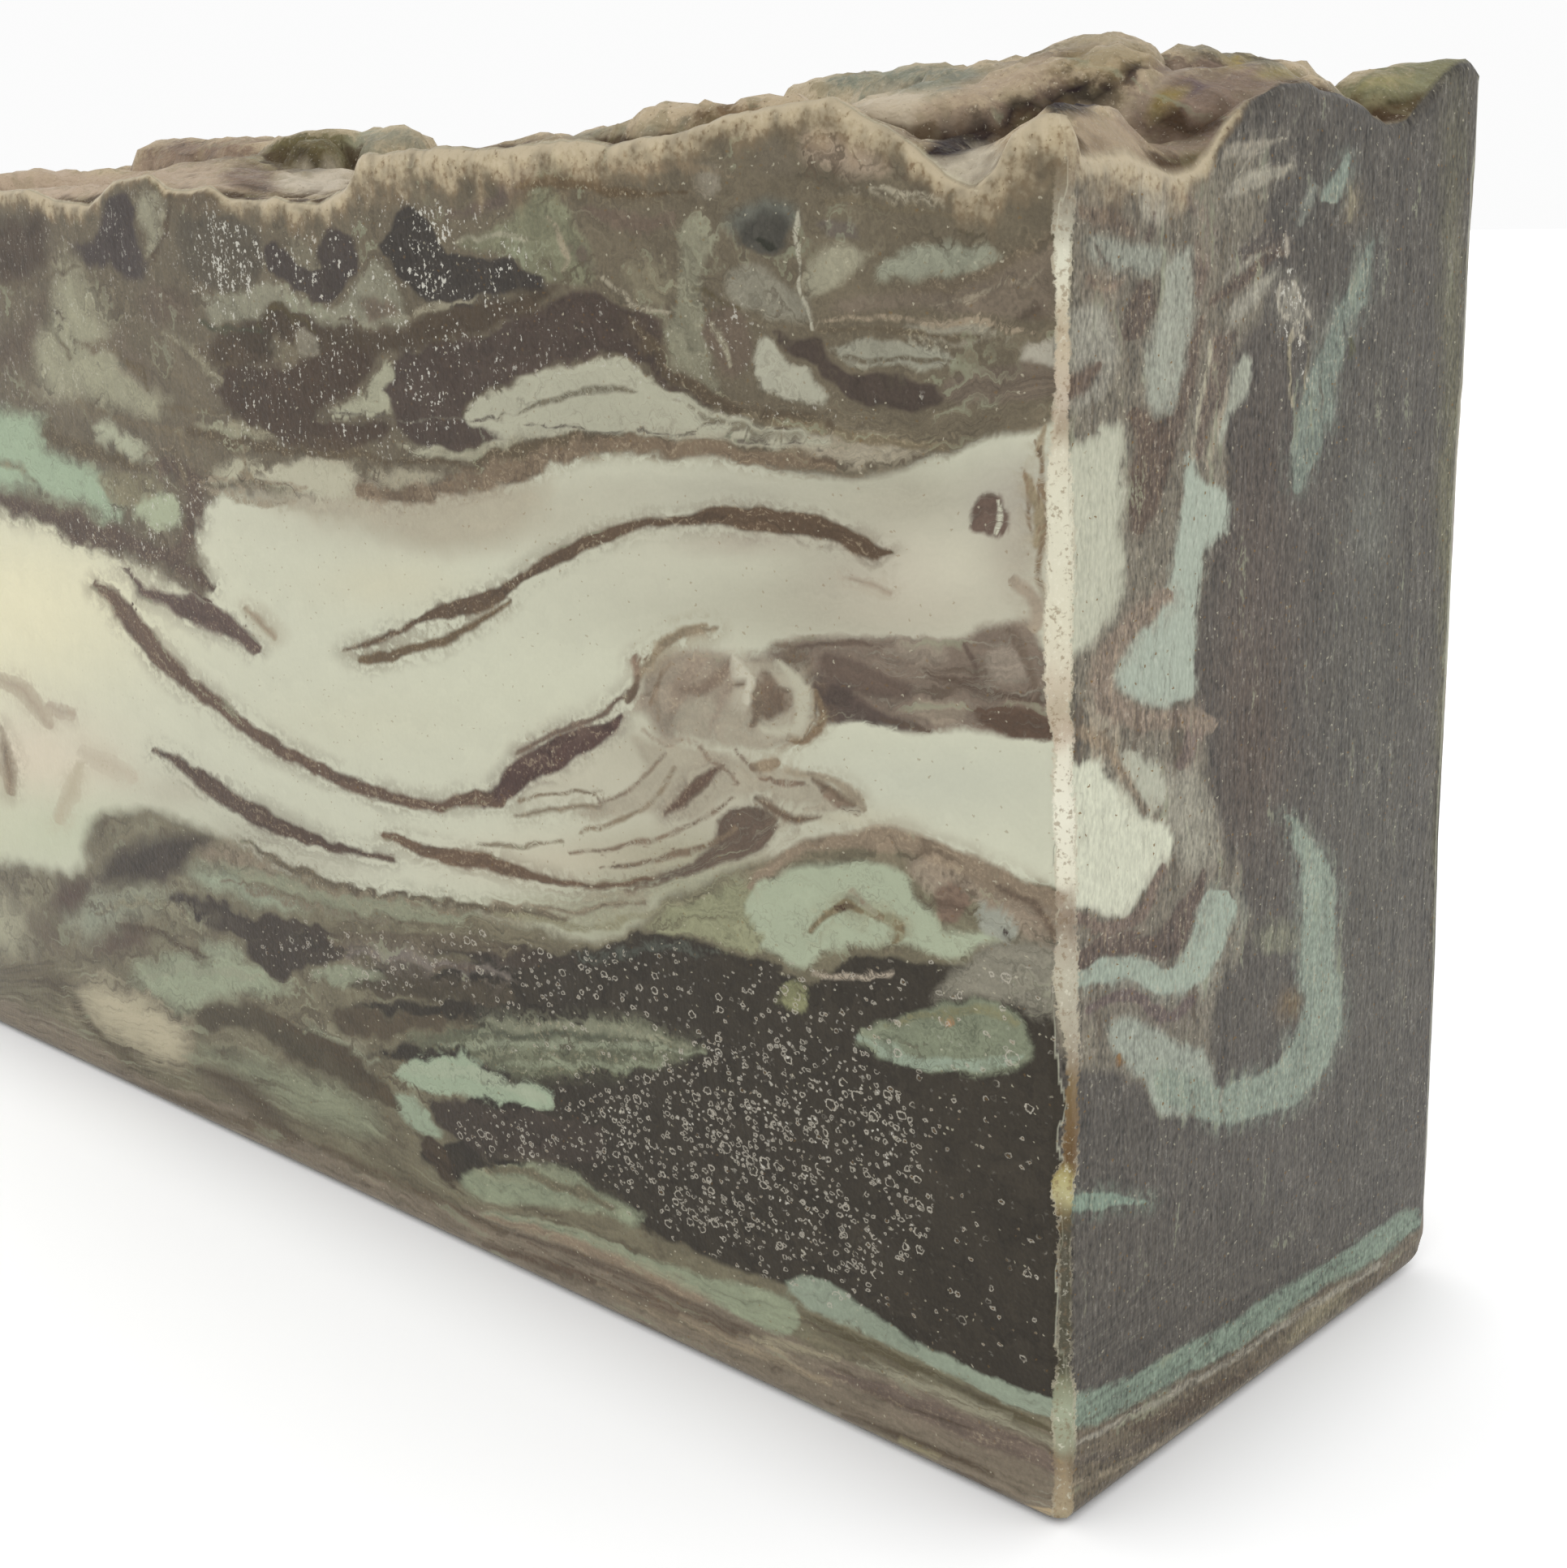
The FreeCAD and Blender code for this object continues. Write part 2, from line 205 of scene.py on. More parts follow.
def rim_noise(x, y):
    return 0.16 * fbm(x * 0.9, y * 0.9, 0 * x, 3, 31)


def top_height(x, y):
    x = np.clip(x, -HX, HX)
    y = np.clip(y, -HY, HY)
    h = inner_top(x, y)

    def fall(d, w):
        s = np.clip(1 - d / w, 0, 1)
        return s * s * (3 - 2 * s)

    for tab, t, d, w in ((RIM_FRONT, x, y + HY, 2.6), (RIM_BACK, x, HY - y, 2.6),
                         (RIM_END, y, HX - x, 2.0), (RIM_LEFT, y, x + HX, 3.0)):
        k = fall(d, w)
        h = h * (1 - k) + table(tab, t) * k
    lump = fbm(x * 0.7, y * 0.7, 0 * x + 1.0, 4, 5)
    fine = fbm(x * 2.1, y * 2.1, 0 * x + 2.0, 3, 6)
    inside = np.clip(np.minimum(np.minimum(y + HY, HY - y), np.minimum(HX - x, x + HX)) / 2.0, 0, 1)
    h = h + rim_noise(x, y) + inside * (0.34 * lump + 0.13 * fine - 0.28 * np.abs(fbm(x * 1.1, y * 1.1, 0 * x + 9.0, 3, 17)))
    return np.minimum(h, 58.95)


# ------------------------------------------------------------------ the mesh
FRONT, STRIP, END, BACK, LEFT, TOP, BASE = range(7)
NF, NS, NE, NB, NL = 300, 7, 84, 74, 26       # columns round the four sides
NR = 158                                       # rows of the sides


def perimeter():
    pts, face = [], []
    t = np.linspace(0, 1, NF + 1)
    u = 1 - (1 - t) ** 1.0
    u = u * (1 - 0.22) + 0.22 * (2 * u - u * u)          # closer columns near the camera
    xs = -HX + u * (LEN - FLAT)
    pts += [(x, -HY) for x in xs[:-1]]
    face += [FRONT] * NF
    t = np.linspace(0, 1, NS + 1)
    pts += [(HX - FLAT + FLAT * k, -HY + FLAT * k) for k in t[:-1]]
    face += [STRIP] * NS
    t = np.linspace(0, 1, NE + 1)
    u = t * 0.8 + 0.2 * t * t
    pts += [(HX, -HY + FLAT + (THK - FLAT) * k) for k in u[:-1]]
    face += [END] * NE
    t = np.linspace(0, 1, NB + 1)
    pts += [(HX - LEN * k, HY) for k in t[:-1]]
    face += [BACK] * NB
    t = np.linspace(0, 1, NL + 1)
    pts += [(-HX, HY - THK * k) for k in t[:-1]]
    face += [LEFT] * NL
    return np.array(pts), np.array(face)


ring, ring_face = perimeter()
NC = len(ring)
rim = np.where(ring_face == FRONT, table(RIM_FRONT, ring[:, 0]),
               np.where(ring_face == STRIP, 0, np.where(ring_face == END, table(RIM_END, ring[:, 1]),
                        np.where(ring_face == BACK, table(RIM_BACK, ring[:, 0]), table(RIM_LEFT, ring[:, 1])))))
k = np.clip((ring[:, 0] - (HX - FLAT)) / FLAT, 0, 1)
rim = np.where(ring_face == STRIP, table(RIM_FRONT, np.minimum(ring[:, 0], HX)) * (1 - k) + table(RIM_END, ring[:, 1]) * k, rim)
rim = rim + rim_noise(ring[:, 0], ring[:, 1])

rows = np.linspace(0, 1, NR)
RZ = rows[None, :] * rim[:, None]                         # (NC, NR) heights of the sides
verts = [np.stack([np.repeat(ring[:, 0], NR), np.repeat(ring[:, 1], NR), RZ.ravel()], 1)]
vface = [np.repeat(ring_face, NR)]
below = [(rim[:, None] - RZ).ravel()]
quads = []
ia = np.arange(NC)[:, None] * NR + np.arange(NR - 1)[None, :]
ib = ((np.arange(NC) + 1) % NC)[:, None] * NR + np.arange(NR - 1)[None, :]
quads.append(np.stack([ia.ravel(), ib.ravel(), (ib + 1).ravel(), (ia + 1).ravel()], 1))

# top: a grid inside the rim, finer where the relief is richest
gx = np.concatenate([np.linspace(-HX + 0.45, 2.0, 72, endpoint=False), np.linspace(2.0, HX - 0.45, 118)])
gy = np.linspace(-HY + 0.42, HY - 0.45, 64)
GX, GY = np.meshgrid(gx, gy, indexing="ij")
# the corner of the grid follows the narrow flat
cut = (GX - (HX - 1.6)) - (GY + (HY - 1.6)) - 1.2
near = np.clip(cut, 0, None)
GX = GX - near * 0.5
GY = GY + near * 0.5
base_top = sum(len(v) for v in verts)
nx, ny = GX.shape
verts.append(np.stack([GX.ravel(), GY.ravel(), top_height(GX.ravel(), GY.ravel())], 1))
vface.append(np.full(nx * ny, TOP))
below.append(np.zeros(nx * ny))
ii = base_top + np.arange(nx - 1)[:, None] * ny + np.arange(ny - 1)[None, :]
quads.append(np.stack([ii.ravel(), (ii + ny).ravel(), (ii + ny + 1).ravel(), (ii + 1).ravel()], 1))
top_loop = ([base_top + i * ny for i in range(nx - 1)] + [base_top + (nx - 1) * ny + j for j in range(ny - 1)]
            + [base_top + i * ny + ny - 1 for i in range(nx - 1, 0, -1)] + [base_top + j for j in range(ny - 1, 0, -1)])

# base: a coarse grid
bx = np.linspace(-HX + 1.2, HX - 1.2, 64)
by = np.linspace(-HY + 1.2, HY - 1.2, 20)
BX, BY = np.meshgrid(bx, by, indexing="ij")
base_bot = sum(len(v) for v in verts)
mx, my = BX.shape
verts.append(np.stack([BX.ravel(), BY.ravel(), np.zeros(mx * my)], 1))
vface.append(np.full(mx * my, BASE))
below.append(np.full(mx * my, 55.0))
ii = base_bot + np.arange(mx - 1)[:, None] * my + np.arange(my - 1)[None, :]
quads.append(np.stack([ii.ravel(), (ii + 1).ravel(), (ii + my + 1).ravel(), (ii + my).ravel()], 1))
bot_loop = ([base_bot + i * my for i in range(mx - 1)] + [base_bot + (mx - 1) * my + j for j in range(my - 1)]
            + [base_bot + i * my + my - 1 for i in range(mx - 1, 0, -1)] + [base_bot + j for j in range(my - 1, 0, -1)])

V = np.concatenate(verts)
F = np.concatenate(vface)
BELOW = np.concatenate(below)


def strip(outer, inner, flip):
    """Triangles between two closed loops that run the same way round."""
    O, I = V[outer][:, :2], V[inner][:, :2]
    s = int(np.argmin(np.hypot(*(I - O[0]).T)))
    inner = inner[s:] + inner[:s]
    n, m = len(outer), len(inner)
    i = j = 0
    tris = []
    while i < n or j < m:
        o0, o1 = outer[i % n], outer[(i + 1) % n]
        n0, n1 = inner[j % m], inner[(j + 1) % m]
        step_o = i < n and (j >= m or np.hypot(*(V[o1][:2] - V[n0][:2])) <= np.hypot(*(V[n1][:2] - V[o0][:2])))
        if step_o:
            tris.append((o0, o1, n0))
            i += 1
        else:
            tris.append((o0, n1, n0))
            j += 1
    t = np.array(tris)
    return t[:, ::-1] if flip else t


rim_loop = [c * NR + NR - 1 for c in range(NC)]
foot_loop = [c * NR for c in range(NC)]
tris = np.concatenate([strip(rim_loop, top_loop, False), strip(foot_loop, bot_loop, True)])
Q = np.concatenate(quads)
SHARP = V.copy()                                           # positions before rounding: the pattern reads these

# the trimmed edge wanders, and the far edge of the end face is nicked
k = F == STRIP
wob = 0.20 * fbm(V[:, 2] * 0.55, 0 * V[:, 2], 0 * V[:, 2] + 4.0, 3, 61)
kf = np.clip(1 - np.abs(V[:, 0] - (HX - FLAT)) / 1.2, 0, 1) * (F == FRONT) + k * np.clip(1 - (V[:, 0] - (HX - FLAT)) / FLAT, 0, 1)
V[:, 0] += kf * wob
wob2 = 0.14 * fbm(V[:, 2] * 0.8, 0 * V[:, 2], 0 * V[:, 2] + 8.0, 3, 67)
ke = np.clip(1 - np.abs(V[:, 1] - (-HY + FLAT)) / 1.2, 0, 1) * (F == END) + k * np.clip((V[:, 0] - (HX - FLAT)) / FLAT, 0, 1)
V[:, 1] += ke * wob2
FARCUT = [(0, .12), (6, .05), (14, .1), (24, .2), (32, .26), (38, .2), (41.5, .16), (42.6, .42), (43.8, .14), (48, .12), (50.6, .1), (52.0, .4), (53.2, .06), (56, 0), (60, 0)]
kc = np.clip(1 - (HY - V[:, 1]) / 2.2, 0, 1) * np.clip(1 - (HX - V[:, 0]) / 2.2, 0, 1) * (F < TOP)
V[:, 1] -= kc * np.maximum(table(FARCUT, V[:, 2]) + 0.10 * fbm(V[:, 2] * 0.9, 0 * V[:, 2], 0 * V[:, 2] + 2.0, 3, 68), 0.0)


# ------------------------------------------------------------------ rounded edges and hand-cut unevenness
def square_to_disc(a, b):
    m = np.maximum(a, b)
    n = np.maximum(np.hypot(a, b), 1e-9)
    return a * m / n, b * m / n


def round_edge(P, i, j, ci, cj, si, sj, r):
    """Rounds the edge at (ci, cj) of axes i, j; si, sj say which way is inward."""
    di = (P[:, i] - ci) * si
    dj = (P[:, j] - cj) * sj
    m = (di < r) & (dj < r) & (di > -1e-6) & (dj > -1e-6)
    a, b = square_to_disc(1 - di[m] / r, 1 - dj[m] / r)
    P[m, i] = ci + (1 - a) * r * si
    P[m, j] = cj + (1 - b) * r * sj


# the top edge of the sides, where the skin turns over
side = F < TOP
turn = np.where(F == BACK, 0.6, 0.5)
d_side = np.minimum(np.minimum(V[:, 0] + HX, HX - V[:, 0]), np.minimum(V[:, 1] + HY, HY - V[:, 1]))
nx_, ny_ = np.zeros(len(V)), np.zeros(len(V))
nx_[F == END], nx_[F == LEFT] = -1, 1
ny_[F == FRONT], ny_[F == BACK] = 1, -1
nx_[F == STRIP], ny_[F == STRIP] = -0.7071, 0.7071
b = np.clip(1 - BELOW / turn, 0, 1)
a2, b2 = square_to_disc(np.ones(len(V)), b)
move = side & (BELOW < turn)
V[:, 0] += np.where(move, nx_ * (1 - a2) * turn, 0)
V[:, 1] += np.where(move, ny_ * (1 - a2) * turn, 0)
V[:, 2] += np.where(move, BELOW - (1 - b2) * turn, 0)

round_edge(V, 1, 2, HY, 0.0, -1, 1, 3.0)                   # back foot, well rounded
round_edge(V, 1, 2, -HY, 0.0, 1, 1, 0.8)                   # front foot
round_edge(V, 0, 2, HX, 0.0, -1, 1, 0.9)                   # end foot
round_edge(V, 0, 2, -HX, 0.0, 1, 1, 1.0)
round_edge(V, 0, 1, HX, HY, -1, -1, 0.5)                   # upright edges
round_edge(V, 0, 1, -HX, HY, 1, -1, 1.0)
round_edge(V, 0, 1, -HX, -HY, 1, 1, 1.0)

# the far upright edge stands out a little near its top and foot
BULGE = [(0, .22), (16, .26), (22, .04), (40, .04), (43, .26), (50, .3), (53.5, .5), (60, .5)]
kb = smooth(0, 1, np.clip(1 - (HY - V[:, 1]) / 8.0, 0, 1)) * smooth(0, 1, np.clip(1 - (HX - V[:, 0]) / 8.0, 0, 1))
V[:, 1] += kb * table(BULGE, V[:, 2])

x, y, z = SHARP.T
body_k = smooth(0, 3, z) * side
wave = fbm(x * 0.05, y * 0.05, z * 0.05, 3, 41) * 0.16 + fbm(x * 0.35, y * 0.35, z * 0.35, 3, 47) * 0.035
wave = np.minimum(wave - 0.08, 0.03)
V[:, 0] += -nx_ * wave * body_k
V[:, 1] += -ny_ * wave * body_k


# ------------------------------------------------------------------ colours of the poured soaps
def lin(c):
    c = np.array(c, float) / 255.0
    return np.maximum(np.where(c <= 0.04045, c / 12.92, ((c + 0.055) / 1.055) ** 2.4) * 0.985 - 0.026, 0.006)


CREAM, CREAM2, YCREAM, PALE = (199, 199, 178), (212, 210, 187), (224, 218, 186), (184, 182, 160)
MINT, MINTD, OLIVE, TAUPE = (158, 173, 147), (141, 152, 128), (124, 121, 97), (136, 126, 108)
BROWN, DARK, PLUM, COAL = (110, 95, 81), (88, 77, 69), (100, 86, 84), (71, 67, 61)
PINK, TAN, STONE = (203, 190, 168), (190, 165, 125), (160, 153, 134)
GREY = (101, 98, 91)

SHAPES = []          # (layer, colour, softness, points, radii or None)


def field(layer, colour, soft, *pts):
    p = np.array(pts, float)
    on_end = p[:, 0].mean() > 1318
    if on_end:                                             # carry it past the trimmed edge
        p[p[:, 0] < 1336, 0] -= 45
    else:
        p[p[:, 0] > 1282, 0] += 45
        if layer > 1:
            soft *= 0.6
        if p[:, 0].mean() < 360 and p[:, 1].mean() > 1000 and layer > 1:
            soft *= 2.0                                    # the picture is softer there
    SHAPES.append((layer, colour, soft, p, None))


def vein(layer, colour, soft, *pts):
    p = np.array(pts, float)
    SHAPES.append((layer, colour, soft * 0.8, p[:, :2], p[:, 2]))


# Fields and veins, read in picture coordinates of the two visible sides.
# layer 1: the big poured zones of the wide face
field(0, (110, 102, 87), 9, (-300, 100), (-300, 700), (-150, 640), (0, 632), (40, 640), (75, 655), (110, 680), (150, 690), (200, 715), (235, 738), (262, 735), (252, 700), (242, 660), (247, 620), (262, 608), (300, 612), (340, 620), (400, 628), (440, 632), (480, 630), (540, 622), (600, 606), (640, 592), (690, 570), (740, 560), (800, 560), (860, 562), (930, 572), (1000, 585), (1060, 590), (1110, 582), (1160, 560), (1200, 545), (1250, 535), (1340, 500), (1340, 400), (1340, 20), (1000, 40), (600, 60), (0, 80))
field(0, (118, 112, 94), 9, (-300, 1120), (-100, 1080), (0, 1058), (60, 1070), (98, 1076), (104, 1020), (120, 1002), (160, 995), (210, 1002), (260, 1028), (300, 1045), (340, 1068), (400, 1096), (440, 1102), (520, 1115), (600, 1130), (660, 1146), (710, 1160), (745, 1156), (785, 1146), (800, 1122), (850, 1095), (900, 1072), (960, 1052), (1040, 1030), (1120, 1040), (1200, 1070), (1340, 1110), (1340, 1960), (600, 1750), (-300, 1300))
field(1, (174, 167, 147), 22.4, (300, 606), (345, 625), (400, 636), (450, 645), (480, 665), (520, 680), (570, 678), (620, 664), (650, 640), (690, 600), (640, 590), (500, 600))
field(1, COAL, 4.8, (600, 1157), (660, 1176), (710, 1176), (745, 1165), (785, 1152), (820, 1152), (860, 1160), (920, 1178), (965, 1195), (1000, 1215), (1030, 1190), (1060, 1170), (1110, 1182), (1160, 1190), (1200, 1180), (1240, 1160), (1340, 1170), (1340, 1765), (1250, 1718), (1200, 1698), (1150, 1675), (1100, 1652), (1050, 1618), (1000, 1590), (940, 1576), (900, 1563), (840, 1536), (780, 1505), (720, 1482), (650, 1474), (600, 1476), (548, 1448), (500, 1420), (570, 1405), (600, 1385), (540, 1368), (600, 1345), (590, 1330), (470, 1302), (420, 1296), (560, 1280), (600, 1262), (470, 1252), (400, 1240), (560, 1232), (620, 1222), (480, 1206), (420, 1196), (560, 1192), (600, 1182), (500, 1160))
# layer 2: the striped foot, then paler fields in the zones
field(2, (131, 121, 106), 7.6, (-300, 1180), (-100, 1208), (0, 1225), (60, 1250), (110, 1278), (150, 1305), (190, 1332), (240, 1350), (300, 1362), (360, 1392), (420, 1428), (480, 1462), (540, 1478), (600, 1492), (660, 1507), (720, 1527), (780, 1545), (840, 1572), (900, 1602), (960, 1632), (1000, 1660), (1060, 1680), (1120, 1700), (1180, 1727), (1240, 1752), (1300, 1778), (1345, 1790), (1345, 1960), (900, 1850), (300, 1550), (-300, 1300))
field(2, MINT, 13.3, (-160, 480), (-40, 490), (20, 502), (50, 517), (62, 545), (88, 562), (115, 580), (140, 600), (150, 638), (135, 648), (100, 625), (60, 618), (20, 606), (-40, 596), (-160, 600))
field(2, (170, 171, 147), 7.6, (105, 520), (125, 515), (150, 528), (180, 548), (190, 563), (175, 570), (150, 563), (125, 548), (110, 538))
field(2, (166, 172, 145), 7.6, (150, 613), (175, 602), (200, 600), (215, 615), (225, 640), (210, 653), (190, 653), (165, 640))
field(2, (152, 149, 126), 17.1, (75, 300), (95, 330), (115, 360), (130, 400), (150, 440), (190, 480), (210, 500), (190, 520), (150, 505), (110, 500), (80, 490), (50, 480), (35, 450), (40, 420), (60, 390), (65, 350))
field(2, (150, 146, 125), 9.5, (165, 235), (190, 232), (200, 265), (198, 300), (190, 322), (175, 300), (163, 265))
field(2, (136, 133, 115), 7.6, (240, 372), (262, 360), (300, 352), (340, 350), (365, 362), (395, 378), (425, 372), (440, 350), (447, 325), (462, 318), (480, 335), (490, 362), (500, 388), (485, 405), (455, 398), (425, 412), (390, 405), (350, 388), (315, 395), (280, 405), (255, 398))
field(2, (154, 151, 128), 7.6, (235, 525), (255, 520), (290, 525), (315, 535), (330, 545), (310, 552), (275, 545), (250, 535))
field(2, (160, 158, 136), 5.7, (398, 503), (425, 498), (445, 490), (455, 475), (460, 455), (475, 445), (495, 455), (490, 470), (482, 490), (478, 510), (450, 513), (420, 518), (402, 520))
field(2, (166, 163, 141), 7.6, (485, 548), (505, 538), (540, 545), (575, 553), (610, 545), (640, 535), (650, 545), (620, 560), (590, 570), (550, 570), (510, 563))
field(2, (172, 170, 150), 5.7, (563, 522), (577, 497), (610, 480), (650, 467), (700, 452), (740, 441), (772, 440), (792, 460), (822, 478), (862, 497), (905, 514), (955, 524), (1010, 532), (1065, 552), (1040, 560), (960, 553), (880, 544), (800, 541), (720, 530), (660, 541), (620, 547), (590, 541))
field(2, (180, 176, 154), 9.5, (300, 588), (345, 578), (370, 568), (405, 565), (440, 578), (449, 600), (432, 616), (390, 610), (345, 603))
field(2, (172, 168, 145), 11.4, (255, 590), (280, 572), (300, 562), (320, 567), (310, 590), (280, 602))
field(2, (158, 152, 131), 7.6, (452, 582), (480, 574), (520, 578), (560, 586), (548, 596), (505, 602), (468, 598))
field(2, (122, 121, 100), 9.5, (560, 300), (590, 285), (620, 275), (645, 255), (662, 215), (680, 215), (697, 255), (720, 300), (745, 335), (735, 350), (700, 352), (660, 345), (640, 320), (600, 310), (565, 312))
field(2, (134, 131, 112), 7.6, (840, 270), (868, 265), (882, 300), (862, 335), (862, 360), (875, 390), (870, 430), (885, 470), (895, 500), (870, 482), (840, 455), (815, 430), (808, 400), (822, 375), (835, 340), (838, 300))
field(2, (126, 119, 100), 11.4, (765, 330), (800, 322), (832, 335), (830, 362), (800, 374), (775, 367))
field(2, (168, 166, 148), 5.7, (925, 412), (945, 415), (965, 440), (988, 457), (1002, 472), (1025, 497), (985, 502), (945, 490), (925, 462))
field(2, (146, 144, 128), 5.7, (1022, 423), (1060, 418), (1140, 425), (1185, 442), (1172, 456), (1110, 456), (1060, 452), (1028, 442))
field(2, (145, 146, 128), 9.5, (1070, 335), (1115, 308), (1170, 293), (1215, 302), (1255, 320), (1225, 336), (1180, 346), (1130, 346), (1085, 348))
field(2, (148, 144, 124), 11.4, (1000, 315), (1040, 300), (1075, 305), (1060, 330), (1030, 350), (1000, 360), (985, 345))
field(2, (134, 130, 115), 11.4, (890, 330), (930, 328), (975, 348), (1000, 380), (990, 400), (960, 395), (920, 385), (890, 362))
field(2, (161, 153, 134), 15.2, (990, 520), (1060, 528), (1110, 543), (1160, 552), (1110, 574), (1040, 577), (985, 565))
field(2, (165, 160, 145), 9.5, (1252, 425), (1283, 420), (1295, 440), (1292, 475), (1270, 480), (1255, 455))
field(2, (152, 147, 130), 7.6, (1105, 400), (1160, 393), (1220, 403), (1255, 415), (1220, 428), (1160, 420), (1112, 412))
field(2, (158, 143, 124), 17.1, (1000, 155), (1040, 165), (1085, 190), (1095, 215), (1060, 225), (1010, 215), (985, 190))
field(2, (134, 127, 112), 9.5, (860, 205), (885, 200), (890, 225), (870, 250), (858, 235))
field(2, (104, 104, 95), 15.2, (890, 250), (960, 240), (985, 260), (980, 290), (930, 300), (890, 290))
field(2, (146, 150, 131), 11.4, (85, 1110), (110, 1095), (130, 1098), (160, 1090), (200, 1098), (215, 1113), (180, 1130), (150, 1133), (130, 1150), (110, 1165), (90, 1150), (80, 1130))
field(2, (150, 158, 136), 9.5, (225, 1075), (250, 1062), (290, 1072), (330, 1088), (370, 1105), (385, 1122), (340, 1124), (300, 1112), (260, 1097), (235, 1090))
field(2, (151, 157, 133), 7.6, (150, 1195), (190, 1180), (240, 1175), (300, 1183), (345, 1203), (362, 1220), (330, 1232), (290, 1228), (250, 1240), (225, 1255), (210, 1240), (170, 1220))
field(2, (186, 177, 151), 13, (85, 1218), (130, 1205), (170, 1220), (200, 1240), (225, 1255), (234, 1280), (220, 1312), (195, 1317), (168, 1300), (140, 1285), (108, 1265), (88, 1242))
field(2, (145, 150, 128), 7.6, (235, 1155), (270, 1160), (305, 1170), (300, 1188), (260, 1190))
field(2, (133, 135, 113), 9.5, (240, 1282), (270, 1290), (310, 1300), (360, 1315), (400, 1325), (440, 1345), (470, 1370), (480, 1405), (440, 1408), (390, 1387), (340, 1365), (310, 1340), (270, 1320), (240, 1305))
field(2, (159, 171, 147), 5.7, (478, 1322), (500, 1308), (540, 1300), (580, 1298), (602, 1310), (592, 1330), (620, 1338), (660, 1335), (682, 1347), (670, 1367), (640, 1364), (610, 1362), (570, 1351), (530, 1345), (500, 1336), (485, 1331))
field(2, (150, 160, 138), 5.7, (478, 1345), (500, 1343), (520, 1363), (540, 1383), (552, 1402), (530, 1402), (505, 1387), (485, 1370))
field(2, (143, 149, 125), 7.6, (560, 1445), (600, 1438), (650, 1433), (700, 1442), (725, 1462), (765, 1480), (802, 1500), (790, 1512), (740, 1497), (690, 1487), (640, 1490), (600, 1482), (570, 1467))
field(2, (106, 107, 90), 8, (600, 1262), (660, 1258), (720, 1258), (780, 1260), (830, 1270), (862, 1290), (870, 1306), (820, 1315), (760, 1318), (700, 1325), (660, 1330), (620, 1326), (590, 1308), (570, 1292), (520, 1290), (490, 1282), (540, 1268))
field(2, (142, 146, 124), 7.6, (380, 1195), (410, 1183), (450, 1193), (490, 1210), (480, 1225), (430, 1215), (390, 1208))
field(2, (137, 133, 113), 7.6, (360, 1258), (390, 1260), (430, 1278), (465, 1298), (440, 1300), (400, 1285), (370, 1270))
field(2, (166, 163, 139), 13.3, (-100, 1100), (0, 1100), (30, 1120), (45, 1150), (40, 1178), (0, 1183), (-100, 1190))
field(2, (166, 173, 149), 9.5, (905, 1100), (930, 1085), (960, 1075), (1000, 1060), (1050, 1058), (1100, 1063), (1118, 1080), (1122, 1100), (1147, 1110), (1162, 1140), (1190, 1150), (1230, 1145), (1250, 1150), (1205, 1172), (1160, 1180), (1110, 1165), (1060, 1160), (1020, 1172), (990, 1197), (960, 1185), (925, 1165), (895, 1130))
field(2, (141, 141, 114), 11.4, (780, 1150), (820, 1122), (870, 1092), (930, 1077), (935, 1110), (945, 1160), (940, 1180), (880, 1162), (830, 1152))
field(2, (134, 130, 116), 15.2, (1180, 1182), (1220, 1163), (1260, 1153), (1303, 1160), (1303, 1268), (1270, 1252), (1240, 1232), (1200, 1225), (1165, 1232), (1140, 1235), (1165, 1200))
field(2, (129, 129, 99), 7.6, (948, 1222), (968, 1205), (998, 1212), (993, 1240), (965, 1242))
# layer 3: brown and dark patches of the wide face
field(3, (86, 77, 68), 11.4, (-120, 270), (10, 272), (40, 260), (57, 275), (55, 320), (45, 345), (0, 355), (-120, 350))
field(3, (100, 90, 78), 15.2, (-120, 415), (-20, 425), (20, 400), (40, 365), (55, 355), (60, 375), (45, 410), (25, 450), (-20, 470), (-120, 470))
field(3, (80, 74, 71), 7.6, (120, 242), (150, 235), (165, 250), (160, 280), (175, 310), (185, 330), (178, 348), (150, 345), (130, 330), (100, 325), (88, 310), (95, 298), (120, 295), (125, 265))
field(3, (104, 94, 82), 15.2, (170, 350), (220, 350), (240, 375), (230, 400), (190, 402), (165, 395))
field(3, (112, 102, 88), 15.2, (120, 410), (150, 405), (180, 440), (195, 475), (170, 485), (140, 455))
field(3, (78, 72, 68), 5.7, (325, 300), (340, 300), (360, 325), (385, 330), (385, 300), (400, 280), (430, 285), (440, 320), (438, 345), (420, 362), (395, 368), (370, 358), (345, 345), (325, 335))
field(3, (90, 84, 78), 7.6, (250, 300), (275, 295), (300, 310), (310, 335), (300, 350), (265, 350), (248, 330))
field(3, (72, 68, 64), 5.7, (460, 300), (480, 285), (498, 240), (515, 255), (530, 290), (545, 320), (600, 318), (640, 320), (665, 340), (672, 353), (640, 357), (600, 359), (570, 370), (545, 376), (520, 369), (500, 356), (480, 330))
field(3, (82, 72, 64), 7.6, (265, 455), (300, 450), (345, 460), (390, 440), (400, 425), (455, 425), (462, 445), (445, 475), (435, 490), (400, 496), (396, 508), (400, 521), (440, 521), (470, 514), (480, 520), (478, 540), (460, 548), (430, 558), (390, 558), (350, 548), (320, 530), (285, 515), (268, 490))
